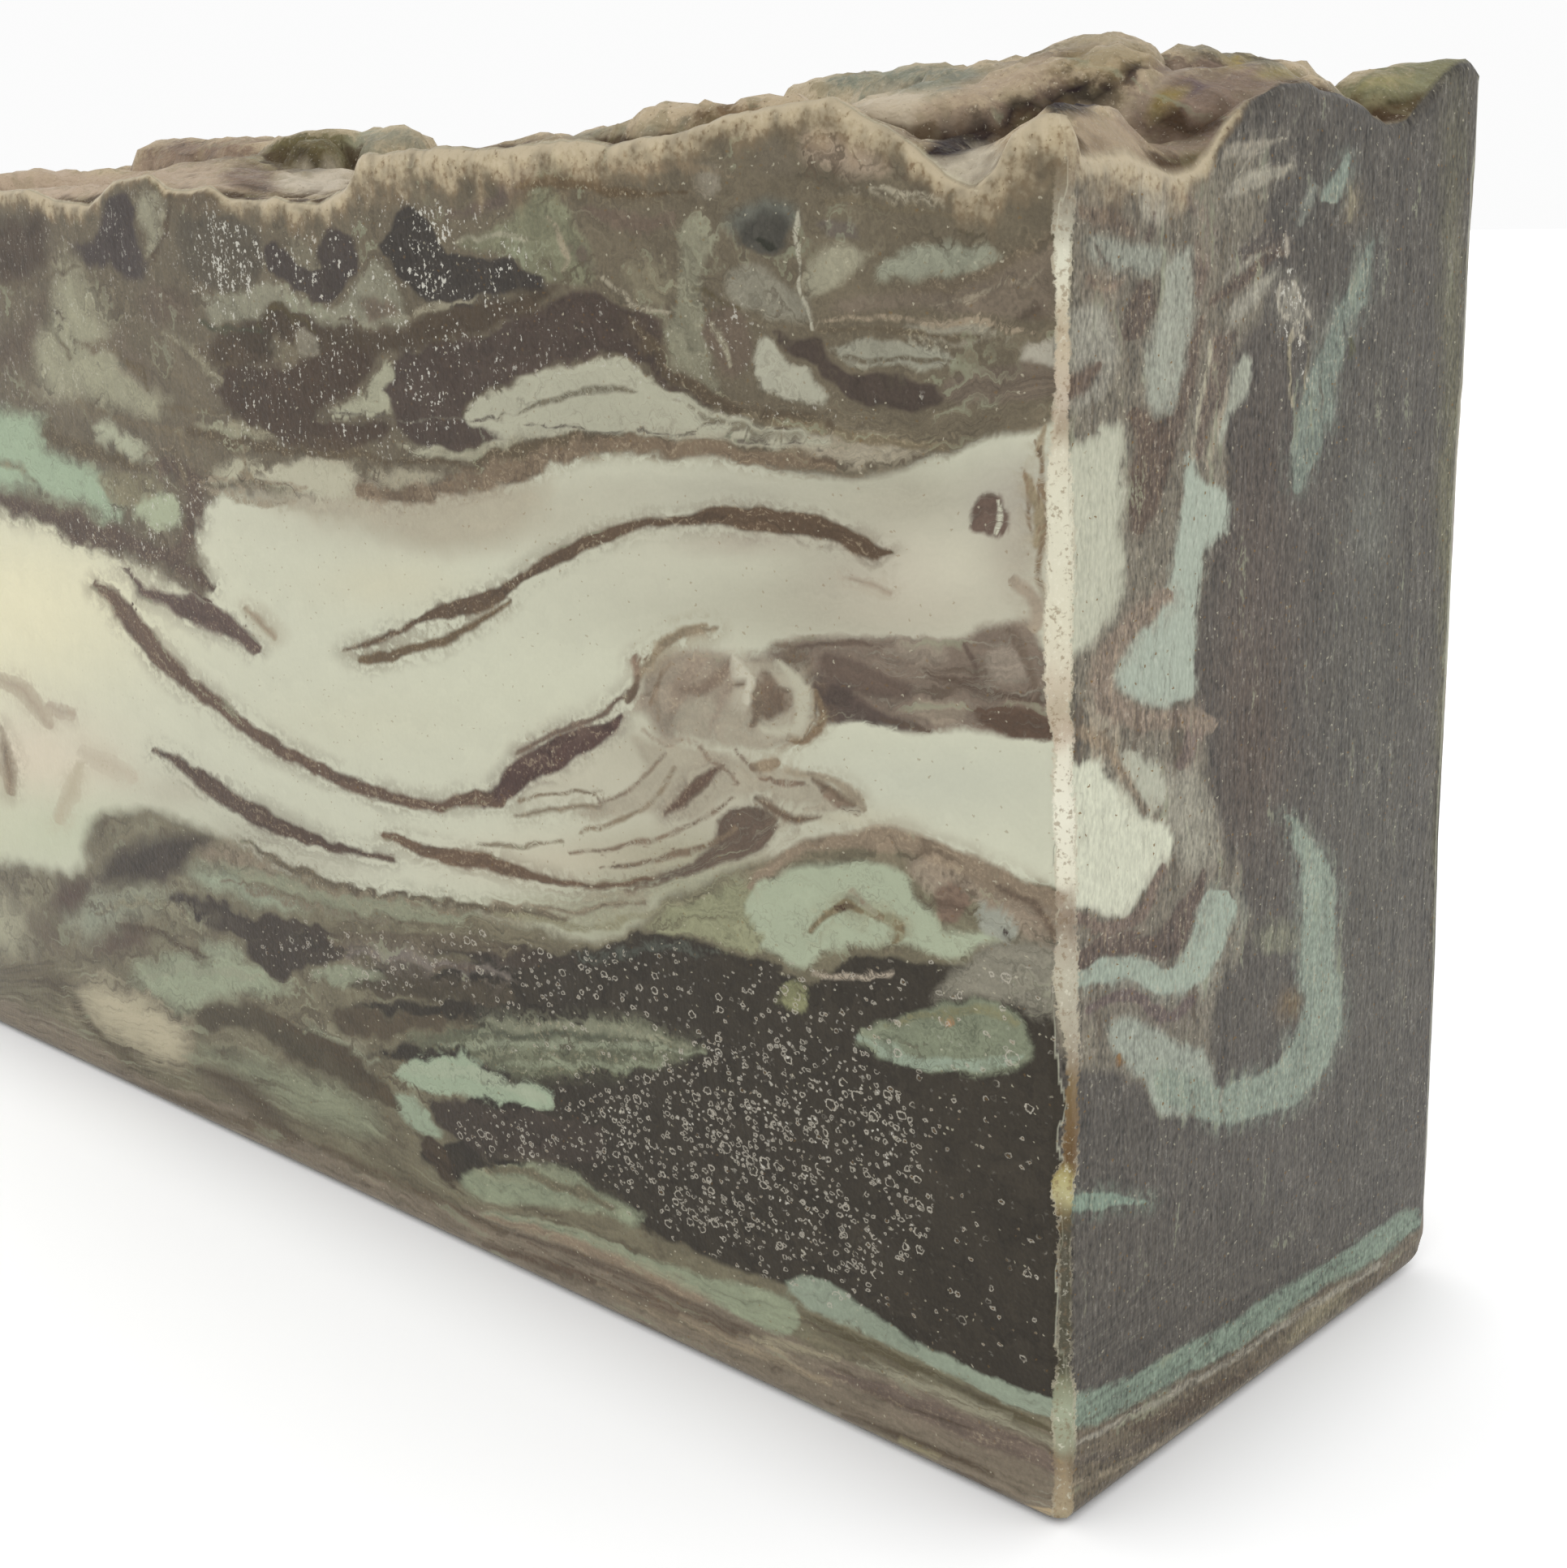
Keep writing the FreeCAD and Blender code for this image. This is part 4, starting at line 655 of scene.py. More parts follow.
vein(5, (150, 145, 131), 4, (1322, 1782, 3), (1400, 1745, 4), (1500, 1690, 4), (1600, 1622, 3), (1700, 1560, 3))
vein(5, (140, 130, 112), 4, (1322, 1830, 4), (1400, 1800, 4), (1500, 1735, 4), (1600, 1665, 3), (1690, 1600, 3))
vein(5, (126, 98, 66), 4, (1380, 1300, 3), (1386, 1312, 4))

# more of the upper zone's strokes, left part
vein(5, (104, 98, 88), 2.0, (400, 509, 1.7), (560, 518, 1.8), (650, 522, 1.8), (780, 532, 1.7), (900, 541, 1.6), (1010, 552, 1.2))
vein(5, (84, 84, 70), 3, (246, 396, 2), (267, 408, 3), (300, 410, 3), (318, 409, 2))
vein(5, (88, 80, 63), 4, (316, 394, 3), (330, 384, 5), (346, 381, 5), (364, 392, 5), (388, 409, 3))
field(4, (128, 122, 107), 7, (358, 412), (375, 408), (394, 422), (392, 440), (372, 444), (358, 430))
field(4, (110, 100, 87), 9, (440, 372), (455, 362), (478, 364), (490, 382), (474, 396), (450, 394))
vein(5, (104, 94, 77), 4, (70, 416, 2), (77, 428, 4), (86, 440, 2))
vein(5, (101, 91, 73), 5, (134, 434, 3), (152, 447, 6), (168, 458, 7), (181, 478, 3))
vein(5, (106, 96, 79), 3.6, (198, 505, 2), (233, 507, 3.5), (276, 504, 2.5))
vein(5, (114, 104, 86), 5, (98, 498, 3), (135, 512, 5), (168, 524, 5), (216, 536, 4), (236, 552, 3))
vein(4, (98, 89, 73), 5, (54, 524, 5), (62, 541, 8), (95, 549, 8), (125, 562, 8), (147, 571, 7), (174, 578, 3))
vein(5, (124, 119, 98), 6, (-60, 555, 5), (0, 567, 6), (20, 578, 6), (36, 597, 3))
field(3, (128, 122, 100), 8, (120, 586), (150, 582), (190, 588), (200, 604), (170, 612), (150, 622), (128, 612))
vein(5, (128, 117, 97), 3, (296, 556, 2), (304, 574, 3.5), (312, 592, 3), (320, 600, 2))
vein(5, (142, 130, 110), 3, (250, 586, 2), (300, 592, 2.5), (350, 598, 2.5), (376, 601, 2))
vein(5, (150, 140, 120), 4, (246, 601, 2), (292, 613, 4), (333, 621, 4), (360, 618, 2))
field(3, (109, 99, 84), 8, (204, 228), (230, 224), (262, 232), (270, 256), (244, 270), (212, 266))
field(3, (96, 90, 79), 8, (216, 268), (250, 262), (300, 270), (320, 300), (320, 340), (300, 356), (250, 356), (222, 340), (214, 300))
field(4, (118, 112, 96), 6, (348, 286), (368, 292), (382, 310), (392, 326), (386, 335), (366, 326), (352, 308))
vein(5, (92, 82, 70), 4, (205, 232, 3), (206, 262, 4), (200, 290, 3), (190, 320, 3))
vein(5, (112, 102, 86), 5, (95, 420, 3), (118, 430, 7), (140, 428, 6), (150, 440, 3))
vein(5, (100, 91, 77), 4, (0, 356, 3), (30, 352, 3), (60, 340, 3), (88, 330, 2))
vein(4, (108, 98, 82), 5, (180, 560, 3), (204, 550, 5), (220, 566, 6), (226, 590, 5))
vein(5, (96, 86, 72), 4, (236, 430, 2), (262, 438, 4), (286, 448, 4))
vein(5, (134, 128, 108), 5, (196, 410, 3), (224, 424, 6), (250, 446, 6), (268, 470, 3))
vein(5, (116, 107, 90), 5, (190, 448, 2), (214, 462, 5), (240, 484, 5), (262, 498, 3))
vein(5, (140, 134, 113), 5, (276, 520, 2), (306, 530, 5), (332, 542, 3))
vein(5, (96, 86, 74), 3.6, (420, 396, 2), (444, 404, 4), (470, 410, 4), (500, 404, 2))
vein(5, (140, 134, 115), 4, (508, 386, 3), (530, 380, 6), (556, 372, 4), (586, 362, 3))
vein(5, (148, 144, 124), 4, (560, 300, 2), (590, 292, 4), (620, 288, 4), (646, 296, 2))

# the knot again, softer, and the brown band to its right
vein(3, (146, 133, 117), 9, (826, 886, 2), (834, 862, 7), (842, 838, 9), (852, 818, 8), (872, 808, 3))
vein(4, (126, 112, 98), 8, (898, 818, 2), (892, 830, 6), (880, 842, 8), (862, 850, 8), (844, 849, 3))
vein(3, (150, 138, 122), 8, (876, 898, 2), (886, 872, 5), (898, 850, 5), (908, 828, 2))
vein(4, (190, 185, 166), 6, (902, 808, 2), (912, 824, 7), (924, 842, 7), (920, 862, 4))
vein(5, (112, 98, 83), 3, (776, 862, 1.5), (782, 848, 3.5), (786, 834, 2))
vein(5, (140, 126, 108), 4, (812, 886, 2), (806, 862, 3), (812, 838, 3), (824, 820, 2))
vein(5, (160, 150, 132), 5, (790, 900, 2), (815, 912, 4), (842, 912, 4), (866, 920, 2))
field(4, (103, 91, 82), 9, (1002, 808), (1030, 806), (1060, 818), (1090, 834), (1130, 842), (1120, 862), (1085, 866), (1050, 852), (1018, 842))
field(4, (146, 135, 121), 9, (1206, 802), (1236, 792), (1262, 804), (1272, 832), (1250, 846), (1218, 838))
field(4, (139, 128, 114), 9, (1096, 786), (1130, 784), (1160, 796), (1170, 816), (1140, 824), (1106, 812))
field(4, (138, 127, 112), 8, (1120, 862), (1160, 858), (1196, 868), (1190, 888), (1150, 892), (1120, 882))
vein(5, (98, 86, 76), 5, (1140, 826, 2), (1176, 840, 5), (1214, 852, 6), (1262, 862, 5), (1286, 868, 2))
vein(5, (104, 92, 82), 4, (985, 795, 2), (1012, 796, 4), (1050, 792, 4), (1082, 800, 2))
vein(5, (101, 89, 80), 4, (1184, 792, 2), (1196, 806, 4), (1200, 826, 4), (1212, 840, 2))
vein(5, (110, 98, 86), 5, (1236, 776, 2), (1254, 790, 6), (1266, 812, 6), (1276, 840, 5), (1284, 862, 2))
vein(5, (96, 84, 74), 4, (1086, 884, 2), (1120, 894, 4), (1150, 903, 2))
vein(5, (128, 112, 92), 4, (1278, 544, 2), (1284, 575, 4), (1282, 600, 4), (1288, 640, 4), (1280, 670, 4), (1274, 700, 3), (1284, 730, 4), (1286, 770, 3))
vein(5, (134, 118, 98), 3, (1258, 580, 2), (1266, 604, 4), (1262, 630, 3), (1268, 655, 2))
# pale lines in the pale zone over the charcoal, and the striped green tongue
vein(5, (140, 136, 112), 4, (610, 1128, 2), (660, 1136, 4), (715, 1147, 5), (770, 1136, 4), (820, 1118, 3), (860, 1106, 2))
vein(3, (138, 139, 118), 6, (600, 1262, 3), (640, 1268, 5), (700, 1264, 5), (770, 1270, 5), (820, 1280, 3), (850, 1292, 1.5))
vein(4, (96, 98, 84), 4, (560, 1268, 2), (620, 1276, 3.5), (690, 1274, 3), (760, 1278, 2))
vein(5, (138, 142, 121), 4, (540, 1284, 2), (600, 1287, 4), (680, 1284, 5), (750, 1286, 5), (820, 1292, 4), (866, 1302, 1.5))
vein(4, (104, 105, 88), 4, (600, 1300, 2), (660, 1297, 3.5), (740, 1300, 3.5), (820, 1306, 2))
vein(5, (130, 134, 113), 4, (620, 1312, 2), (680, 1309, 5), (750, 1312, 5), (820, 1313, 3))
vein(4, (100, 101, 84), 3, (640, 1322, 2), (700, 1319, 2.5), (760, 1320, 2))
# the lens
vein(5, (147, 158, 140), 6, (1058, 1282, 3), (1100, 1298, 7), (1160, 1312, 9), (1220, 1313, 8), (1262, 1298, 3))
vein(5, (126, 124, 98), 6, (1095, 1270, 3), (1130, 1256, 7), (1180, 1243, 7), (1226, 1244, 5), (1252, 1262, 3))
vein(5, (150, 120, 92), 3, (1152, 1256, 2), (1162, 1260, 5), (1174, 1258, 2))
field(3, (152, 153, 140), 8, (1200, 1108), (1232, 1106), (1256, 1130), (1262, 1158), (1232, 1164), (1204, 1150))
vein(4, (112, 99, 86), 5, (1228, 1094, 3), (1262, 1108, 6), (1288, 1136, 6), (1300, 1160, 4))
vein(5, (80, 72, 68), 3, (1236, 1142, 2), (1240, 1150, 6), (1246, 1156, 2))
vein(5, (80, 66, 58), 3, (1036, 1118, 2), (1044, 1123, 6), (1052, 1120, 2))
vein(5, (138, 128, 110), 4, (1050, 1100, 2), (1064, 1112, 4), (1080, 1128, 4))

# end face: more strokes, the chip, its pale outline
field(4, (100, 96, 87), 7, (1350, 262), (1372, 252), (1392, 268), (1396, 286), (1370, 282), (1352, 274))
vein(4, (112, 106, 96), 5, (1352, 300, 2), (1366, 322, 4), (1385, 332, 4), (1402, 333, 2))
vein(5, (96, 86, 78), 4, (1422, 262, 2), (1424, 278, 5), (1412, 292, 4))
vein(5, (172, 166, 150), 3, (1579, 356, 1.5), (1576, 372, 2.5), (1585, 390, 3), (1600, 400, 3), (1604, 414, 2.5), (1612, 418, 2))
vein(5, (172, 166, 150), 3, (1582, 350, 1.5), (1594, 346, 2.5), (1600, 360, 2.5), (1612, 376, 2.5), (1613, 394, 2.5), (1610, 404, 1.5))
field(4, (138, 134, 122), 5, (1580, 352), (1597, 350), (1612, 374), (1612, 392), (1594, 396), (1580, 376))
vein(5, (158, 150, 136), 3, (1588, 288, 1.5), (1590, 300, 5), (1588, 312, 2))
vein(5, (150, 142, 120), 3, (1596, 412, 1.5), (1590, 440, 2.5), (1592, 470, 2), (1588, 500, 1.5))
vein(5, (150, 142, 120), 3, (1612, 420, 1.5), (1610, 450, 2.5), (1612, 480, 1.5))
vein(5, (130, 123, 104), 4, (1668, 236, 3), (1672, 250, 6), (1668, 268, 4))
vein(5, (84, 82, 62), 3, (1666, 420, 2), (1670, 430, 5), (1668, 440, 2))
vein(4, (146, 140, 126), 6, (1505, 200, 3), (1530, 188, 10), (1560, 176, 8), (1580, 168, 3))
vein(4, (152, 147, 132), 6, (1520, 240, 3), (1545, 222, 10), (1575, 210, 9), (1590, 206, 3))
vein(4, (94, 88, 82), 6, (1530, 310, 3), (1552, 296, 9), (1575, 288, 6), (1600, 286, 2))
vein(4, (120, 110, 99), 6, (1430, 215, 3), (1460, 240, 7), (1484, 262, 6), (1500, 290, 3))

# upper middle: strokes over the poured patches
vein(5, (150, 144, 124), 3.6, (880, 400, 2), (893, 425, 4), (898, 448, 3))
vein(4, (94, 84, 71), 6, (780, 395, 3), (800, 430, 6), (830, 460, 8), (870, 490, 8), (905, 505, 7), (960, 515, 6), (1020, 520, 5), (1040, 540, 3))
vein(5, (62, 62, 56), 4, (932, 292, 3), (944, 300, 8), (956, 304, 4))
vein(4, (112, 102, 87), 7, (1296, 288, 5), (1245, 322, 9), (1196, 348, 8), (1130, 356, 4))
vein(5, (138, 129, 112), 3, (1146, 376, 2), (1196, 366, 3), (1254, 350, 3), (1284, 334, 2))
vein(5, (92, 86, 73), 3, (1180, 285, 1.5), (1230, 298, 2.5), (1256, 312, 1.5))
vein(5, (144, 132, 113), 4, (1004, 393, 2), (1080, 390, 4), (1160, 396, 4), (1240, 404, 4), (1292, 410, 3))
vein(4, (104, 95, 80), 5, (1010, 408, 2), (1080, 406, 4), (1150, 410, 4), (1220, 420, 3))
vein(4, (120, 110, 91), 6, (880, 500, 3), (950, 518, 6), (1030, 530, 7), (1090, 545, 7), (1160, 548, 5))
vein(5, (104, 97, 83), 3.6, (1030, 440, 2), (1080, 446, 3.5), (1140, 444, 3.5), (1190, 450, 2))
vein(5, (116, 110, 94), 3.6, (620, 512, 2), (680, 492, 4), (740, 476, 4), (790, 484, 2))
vein(5, (124, 118, 101), 4, (830, 500, 2), (880, 520, 4), (950, 534, 4), (1000, 540, 2))
vein(4, (98, 86, 70), 5, (640, 236, 3), (690, 222, 7), (750, 226, 7), (800, 240, 5), (850, 236, 3))
vein(5, (124, 112, 94), 4, (740, 204, 2), (790, 210, 5), (850, 204, 5), (900, 212, 3))
vein(5, (150, 141, 120), 4, (690, 330, 2), (700, 312, 4), (690, 290, 4), (676, 272, 2))
vein(5, (112, 103, 86), 4, (1010, 246, 2), (1060, 250, 5), (1120, 262, 5), (1180, 268, 3))
vein(5, (154, 147, 128), 4, (1040, 232, 2), (1100, 238, 4), (1160, 248, 3))
# lower left: the stirred part under the cream
field(3, (140, 142, 120), 7, (262, 1058), (300, 1062), (360, 1080), (420, 1092), (500, 1104), (580, 1116), (600, 1134), (520, 1140), (440, 1134), (380, 1120), (330, 1100), (280, 1080))
field(4, (138, 127, 109), 8, (236, 1048), (262, 1038), (310, 1046), (344, 1066), (336, 1080), (292, 1070), (250, 1060))
vein(4, (106, 98, 83), 4, (296, 1036, 2), (345, 1060, 5), (385, 1085, 5), (440, 1098, 4), (520, 1108, 4), (600, 1120, 5), (690, 1138, 4))
vein(5, (112, 104, 88), 4, (300, 1084, 2), (352, 1104, 4), (402, 1120, 4), (472, 1132, 4), (548, 1140, 3))
field(4, (106, 98, 84), 6, (396, 1150), (450, 1148), (520, 1148), (600, 1158), (648, 1172), (600, 1180), (520, 1170), (450, 1170), (400, 1166))
vein(5, (88, 80, 68), 5, (335, 1252, 3), (380, 1276, 8), (424, 1304, 9), (456, 1334, 8), (484, 1362, 4))
vein(5, (140, 141, 120), 4, (358, 1262, 2), (396, 1276, 4), (430, 1292, 4), (462, 1306, 2))
vein(5, (92, 84, 71), 4, (245, 1320, 3), (290, 1335, 5), (322, 1360, 4))
vein(5, (94, 86, 73), 4, (310, 1375, 3), (344, 1388, 5), (372, 1405, 3))
vein(5, (84, 76, 66), 4, (515, 1396, 2), (534, 1412, 6), (546, 1440, 6), (556, 1460, 3))
vein(5, (164, 172, 149), 5, (490, 1320, 3), (540, 1316, 9), (590, 1322, 8), (630, 1342, 8), (660, 1352, 5))
vein(4, (128, 124, 104), 5, (120, 1120, 2), (160, 1112, 6), (210, 1120, 6), (250, 1140, 4))
vein(5, (88, 79, 68), 4, (140, 1140, 2), (176, 1146, 5), (214, 1160, 5), (250, 1176, 3))
vein(5, (150, 152, 130), 4, (160, 1208, 2), (210, 1196, 5), (270, 1196, 5), (320, 1210, 3))
vein(5, (96, 88, 74), 4, (40, 1206, 3), (84, 1222, 5), (96, 1250, 5), (120, 1280, 4), (160, 1306, 3))
vein(4, (112, 107, 89), 5, (600, 1440, 3), (650, 1446, 5), (700, 1462, 6), (750, 1486, 4))
# the foot's stripes, sharper towards the right
vein(4, (140, 126, 108), 5, (600, 1500, 3), (660, 1516, 6), (730, 1540, 6), (800, 1574, 6), (860, 1600, 4))
vein(5, (146, 134, 114), 4, (720, 1576, 2), (780, 1604, 5), (850, 1634, 5), (930, 1666, 5), (1020, 1704, 4))
vein(5, (146, 142, 122), 4, (1060, 1680, 3), (1120, 1702, 6), (1180, 1726, 7), (1240, 1754, 7), (1304, 1784, 6))
vein(5, (152, 144, 116), 4, (1054, 1752, 2), (1096, 1772, 5), (1130, 1788, 4), (1152, 1798, 2))
vein(5, (92, 82, 72), 3, (1120, 1735, 1.5), (1160, 1748, 3), (1196, 1760, 1.5))
vein(5, (178, 160, 130), 4, (1262, 1858, 2), (1290, 1866, 6), (1312, 1866, 5))
vein(5, (150, 132, 104), 4, (1309, 1800, 3), (1313, 1822, 6), (1312, 1846, 4))
field(3, (160, 151, 133), 9, (1340, 845), (1372, 850), (1382, 900), (1376, 950), (1350, 955))
field(3, (150, 146, 131), 12, (1430, 945), (1468, 932), (1498, 990), (1506, 1070), (1480, 1098), (1452, 1060), (1436, 1000))
vein(5, (126, 112, 96), 4, (700, 1050, 2), (760, 1046, 3.5), (820, 1030, 3.5), (870, 1008, 3), (900, 985, 2))
vein(5, (120, 106, 90), 4, (740, 1072, 2), (800, 1064, 4), (860, 1046, 4.5), (905, 1022, 3))
vein(4, (112, 98, 84), 6, (930, 985, 3), (955, 1000, 6), (985, 1010, 5), (1010, 1006, 2))
vein(4, (118, 104, 89), 6, (1000, 962, 3), (1022, 975, 6), (1046, 990, 4))
vein(4, (116, 104, 90), 6, (905, 838, 3), (925, 850, 7), (935, 872, 8), (930, 892, 4))
field(3, (114, 102, 89), 9, (938, 791), (985, 784), (1012, 800), (1014, 872), (1002, 892), (990, 880), (982, 840), (958, 816))


# ------------------------------------------------------------------ where each vertex lies in the pattern
x, y, z = SHARP.T
zpat = z.copy()
patpos = np.stack([x, y, zpat], 1)
m = F == BACK
patpos[m] = np.stack([x * 0.96 - 1.0 + 3.0 * np.sin(z / 9.0), np.full(len(x), -15.0), z + 2.5 * np.sin(x / 13.0 + 1.0)], 1)[m]
m = F == LEFT
patpos[m] = np.stack([np.full(len(x), 47.5), -14.0 + (y + 15.0) * 0.9, z * 0.97 + 1.0], 1)[m]
m = F == BASE
patpos[m] = np.stack([x, np.full(len(x), -15.0), 2.6 + 1.6 * np.sin(x / 9.0 + y / 7.0) + 0.9 * np.sin(y / 2.1 + x / 23.0)], 1)[m]
PX = to_picture(patpos)
# the cut pattern is never a clean line: it wanders by a few tenths of a millimetre
X0, Y0 = PX.T.copy()
calm = np.clip(1.15 - smooth(-40, 60, PX[:, 1] - np.interp(PX[:, 0], [-300, 250, 640, 1300], [660, 720, 600, 540])) * 0.55
               + smooth(-30, 60, PX[:, 1] - np.interp(PX[:, 0], [-300, 250, 640, 900, 1300], [1080, 1030, 1110, 1090, 1060])) * 0.55, 0.4, 1.2)
calm[F == END] = 0.8
calm *= 0.3 + 0.7 * smooth(3.0, 9.0, patpos[:, 2])
sx, sy, sz = patpos.T
PX[:, 0] += calm * (11.0 * fbm(sx * 0.5, sy * 0.5, sz * 0.7, 2, 81) + 6.0 * fbm(sx * 1.3, sy * 1.3, sz * 1.9, 2, 83))
PX[:, 1] += calm * (8.0 * fbm(sx * 0.5, sy * 0.5, sz * 0.7, 2, 91) + 6.0 * fbm(sx * 1.2, sy * 1.2, sz * 2.0, 2, 93))
# the narrow flat takes the pattern of both sides, up to a wandering line
over = (x - (HX - FLAT)) / FLAT > 0.5 + 0.45 * vnoise(0 * x, 0 * x, z * 0.7, 77)
wide = (F == FRONT) | (F == BACK) | (F == BASE) | ((F == STRIP) & ~over)
endy = (F == END) | (F == LEFT) | ((F == STRIP) & over)


def chaikin(P, closed, n=2):
    for _ in range(n):
        A, B = (P, np.roll(P, -1, 0)) if closed else (P[:-1], P[1:])
        Q1, Q2 = A * 0.75 + B * 0.25, A * 0.25 + B * 0.75
        N = np.empty((2 * len(A), P.shape[1]))
        N[0::2], N[1::2] = Q1, Q2
        P = N if closed else np.concatenate([P[:1], N, P[-1:]])
    return P


def near_polyline(T, A, B):
    """Distance to the nearest segment A-B, which segment, how far along, and which side."""
    best = np.full(len(T), 1e9)
    seg = np.zeros(len(T), int)
    tt = np.zeros(len(T))
    sd = np.zeros(len(T))
    for i in range(len(A)):
        d = B[i] - A[i]
        L2 = max(d @ d, 1e-9)
        w = T - A[i]
        t = np.clip((w @ d) / L2, 0, 1)
        q = w - t[:, None] * d
        r = np.hypot(q[:, 0], q[:, 1])
        k = r < best
        best[k], seg[k], tt[k] = r[k], i, t[k]
        sd[k] = ((w[k, 0] * d[1] - w[k, 1] * d[0]) / math.sqrt(L2))
    return best, seg, tt, sd


def inside_poly(T, P):
    c = np.zeros(len(T), bool)
    A, B = P, np.roll(P, -1, 0)
    for (ax, ay), (bx_, by_) in zip(A, B):
        if ay == by_:
            continue
        k = ((ay > T[:, 1]) != (by_ > T[:, 1]))
        c ^= k & (T[:, 0] < (bx_ - ax) * (T[:, 1] - ay) / (by_ - ay) + ax)
    return c


FAR = 6.0
N = len(V)
LV = {i: np.full(N, -FAR) for i in range(0, 5)}            # how far inside the nearest field, in soft edges
RAG = {i: np.ones(N) for i in range(0, 5)}
LC = {i: np.tile(lin(CREAM), (N, 1)) for i in range(0, 5)}
VSETS = 3
SIDE = [np.full(N, 60.0) for _ in range(VSETS)]
RAD = [np.full(N, -20.0) for _ in range(VSETS)]
GAP = [np.full(N, 60.0) for _ in range(VSETS)]
SOFT = [np.full(N, 3.0) for _ in range(VSETS)]
VC = [np.tile(lin(CREAM), (N, 1)) for _ in range(VSETS)]
nvein = 0
for layer, colour, soft, pts, rad in SHAPES:
    on_end = pts[:, 0].mean() > 1318
    dom = endy if on_end else wide
    lo, hi = pts.min(0) - 46 - soft * FAR, pts.max(0) + 46 + soft * FAR
    idx = np.nonzero(dom & (PX[:, 0] > lo[0]) & (PX[:, 0] < hi[0]) & (PX[:, 1] > lo[1]) & (PX[:, 1] < hi[1]))[0]
    if not len(idx):
        continue
    if rad is not None and rad.max() < 9.5:                # the back's mesh is too open for thin lines
        idx = idx[F[idx] != BACK]
    T = PX[idx]
    col = lin(colour)
    if rad is None:
        P = chaikin(pts, True, 2)
        d, _, _, _ = near_polyline(T, P, np.roll(P, -1, 0))
        v = np.where(inside_poly(T, P), d, -d) / soft
        v = np.clip(v, -FAR, FAR)
        k = v > LV[layer][idx]
        LV[layer][idx[k]] = v[k]
        LC[layer][idx[k]] = col
        RAG[layer][idx[k]] = min(1.0, 5.0 / soft)
    else:
        P = chaikin(np.column_stack([pts, rad]), False, 2)
        d, seg, t, sd = near_polyline(T, P[:-1, :2], P[1:, :2])
        r = P[seg, 2] * (1 - t) + P[seg + 1, 2] * t + np.where(F[idx] == BACK, 4.0, 0.0)
        s = {3: 0, 4: 1, 5: 2}[layer]
        gap = d - r
        k = (gap < GAP[s][idx]) & (gap < 42)
        ik = idx[k]
        GAP[s][ik] = gap[k]
        SIDE[s][ik] = np.clip(sd[k], -60, 60)
        RAD[s][ik] = r[k]
        SOFT[s][ik] = soft
        VC[s][ik] = col

# ------------------------------------------------------------------ ground colours, painted softly
GROUND = np.tile(lin(CREAM), (N, 1))


def blob(sel, cx, cy, rx, ry, colour, amount=1.0, at=None, power=2.0):
    T = PX if at is None else at
    d = ((T[:, 0] - cx) / rx) ** 2 + ((T[:, 1] - cy) / ry) ** 2
    w = np.where(sel, amount * np.exp(-np.clip(d, 0, 40) ** (power / 2) * 0.9), 0)[:, None]
    GROUND[:] = GROUND * (1 - w) + lin(colour) * w


blob(wide, 960, 745, 230, 60, (175, 172, 153), 0.85)
blob(wide, 0, 745, 190, 110, YCREAM, 0.95)
blob(wide, -260, 780, 200, 110, YCREAM, 0.6)
blob(wide, 30, 945, 100, 60, (213, 200, 178), 0.9)
blob(wide, 60, 1025, 130, 45, (190, 194, 168), 0.9)
blob(wide, -60, 1010, 110, 60, (198, 198, 172), 0.9)
blob(wide, 480, 720, 90, 30, (201, 196, 170), 0.6)
blob(wide, 640, 850, 160, 60, (203, 203, 180), 0.5)
blob(wide, 430, 890, 120, 40, (200, 198, 174), 0.5)
blob(wide, 800, 700, 110, 40, (192, 190, 170), 0.7)
blob(wide, 560, 640, 170, 34, (168, 160, 141), 0.8)
blob(wide, 760, 608, 120, 34, (178, 174, 155), 0.6)
blob(wide, 920, 606, 130, 32, (172, 169, 152), 0.85)
blob(wide, 1110, 620, 130, 55, (165, 161, 143), 0.95)
blob(wide, 1250, 620, 60, 60, (168, 162, 149), 0.85)
blob(wide, 920, 668, 90, 16, (166, 157, 141), 0.7)
blob(wide, 1075, 705, 90, 46, (148, 141, 126), 0.88)
blob(wide, 1110, 754, 110, 40, (153, 147, 130), 0.92)
blob(wide, 1190, 695, 44, 34, (184, 181, 161), 0.85)
blob(wide, 1250, 690, 36, 70, (160, 152, 136), 0.85)
blob(wide, 900, 1000, 120, 60, (166, 160, 141), 0.8)
blob(wide, 780, 930, 90, 50, (172, 166, 147), 0.75)
blob(wide, 830, 1054, 110, 30, (136, 132, 109), 0.92)
blob(wide, 985, 1020, 60, 26, (152, 144, 126), 0.8)
blob(wide, 680, 966, 60, 22, (170, 162, 144), 0.6)
blob(wide, 300, 1030, 70, 28, (164, 160, 142), 0.6)
blob(wide, 215, 975, 50, 24, (172, 164, 146), 0.5)
blob(wide, 840, 1092, 100, 24, (138, 137, 114), 0.9)
blob(wide, 745, 1130, 60, 24, (124, 123, 102), 0.9)
blob(wide, 370, 1066, 70, 20, (172, 168, 150), 0.6)
blob(wide, 1130, 720, 120, 80, (208, 202, 182), 0.6)
blob(wide, 1150, 965, 170, 45, (190, 191, 173), 0.8)
blob(wide, 700, 1060, 140, 30, (190, 180, 158), 0.6)
blob(wide, 900, 1110, 90, 50, (178, 178, 154), 0.5)
blob(wide, 690, 1132, 150, 24, (166, 165, 141), 0.85)
blob(wide, 840, 985, 120, 60, (190, 185, 165), 0.5)
blob(wide, 700, 940, 60, 40, (196, 192, 170), 0.5)
blob(wide, 1040, 1010, 70, 18, (190, 184, 160), 0.5)

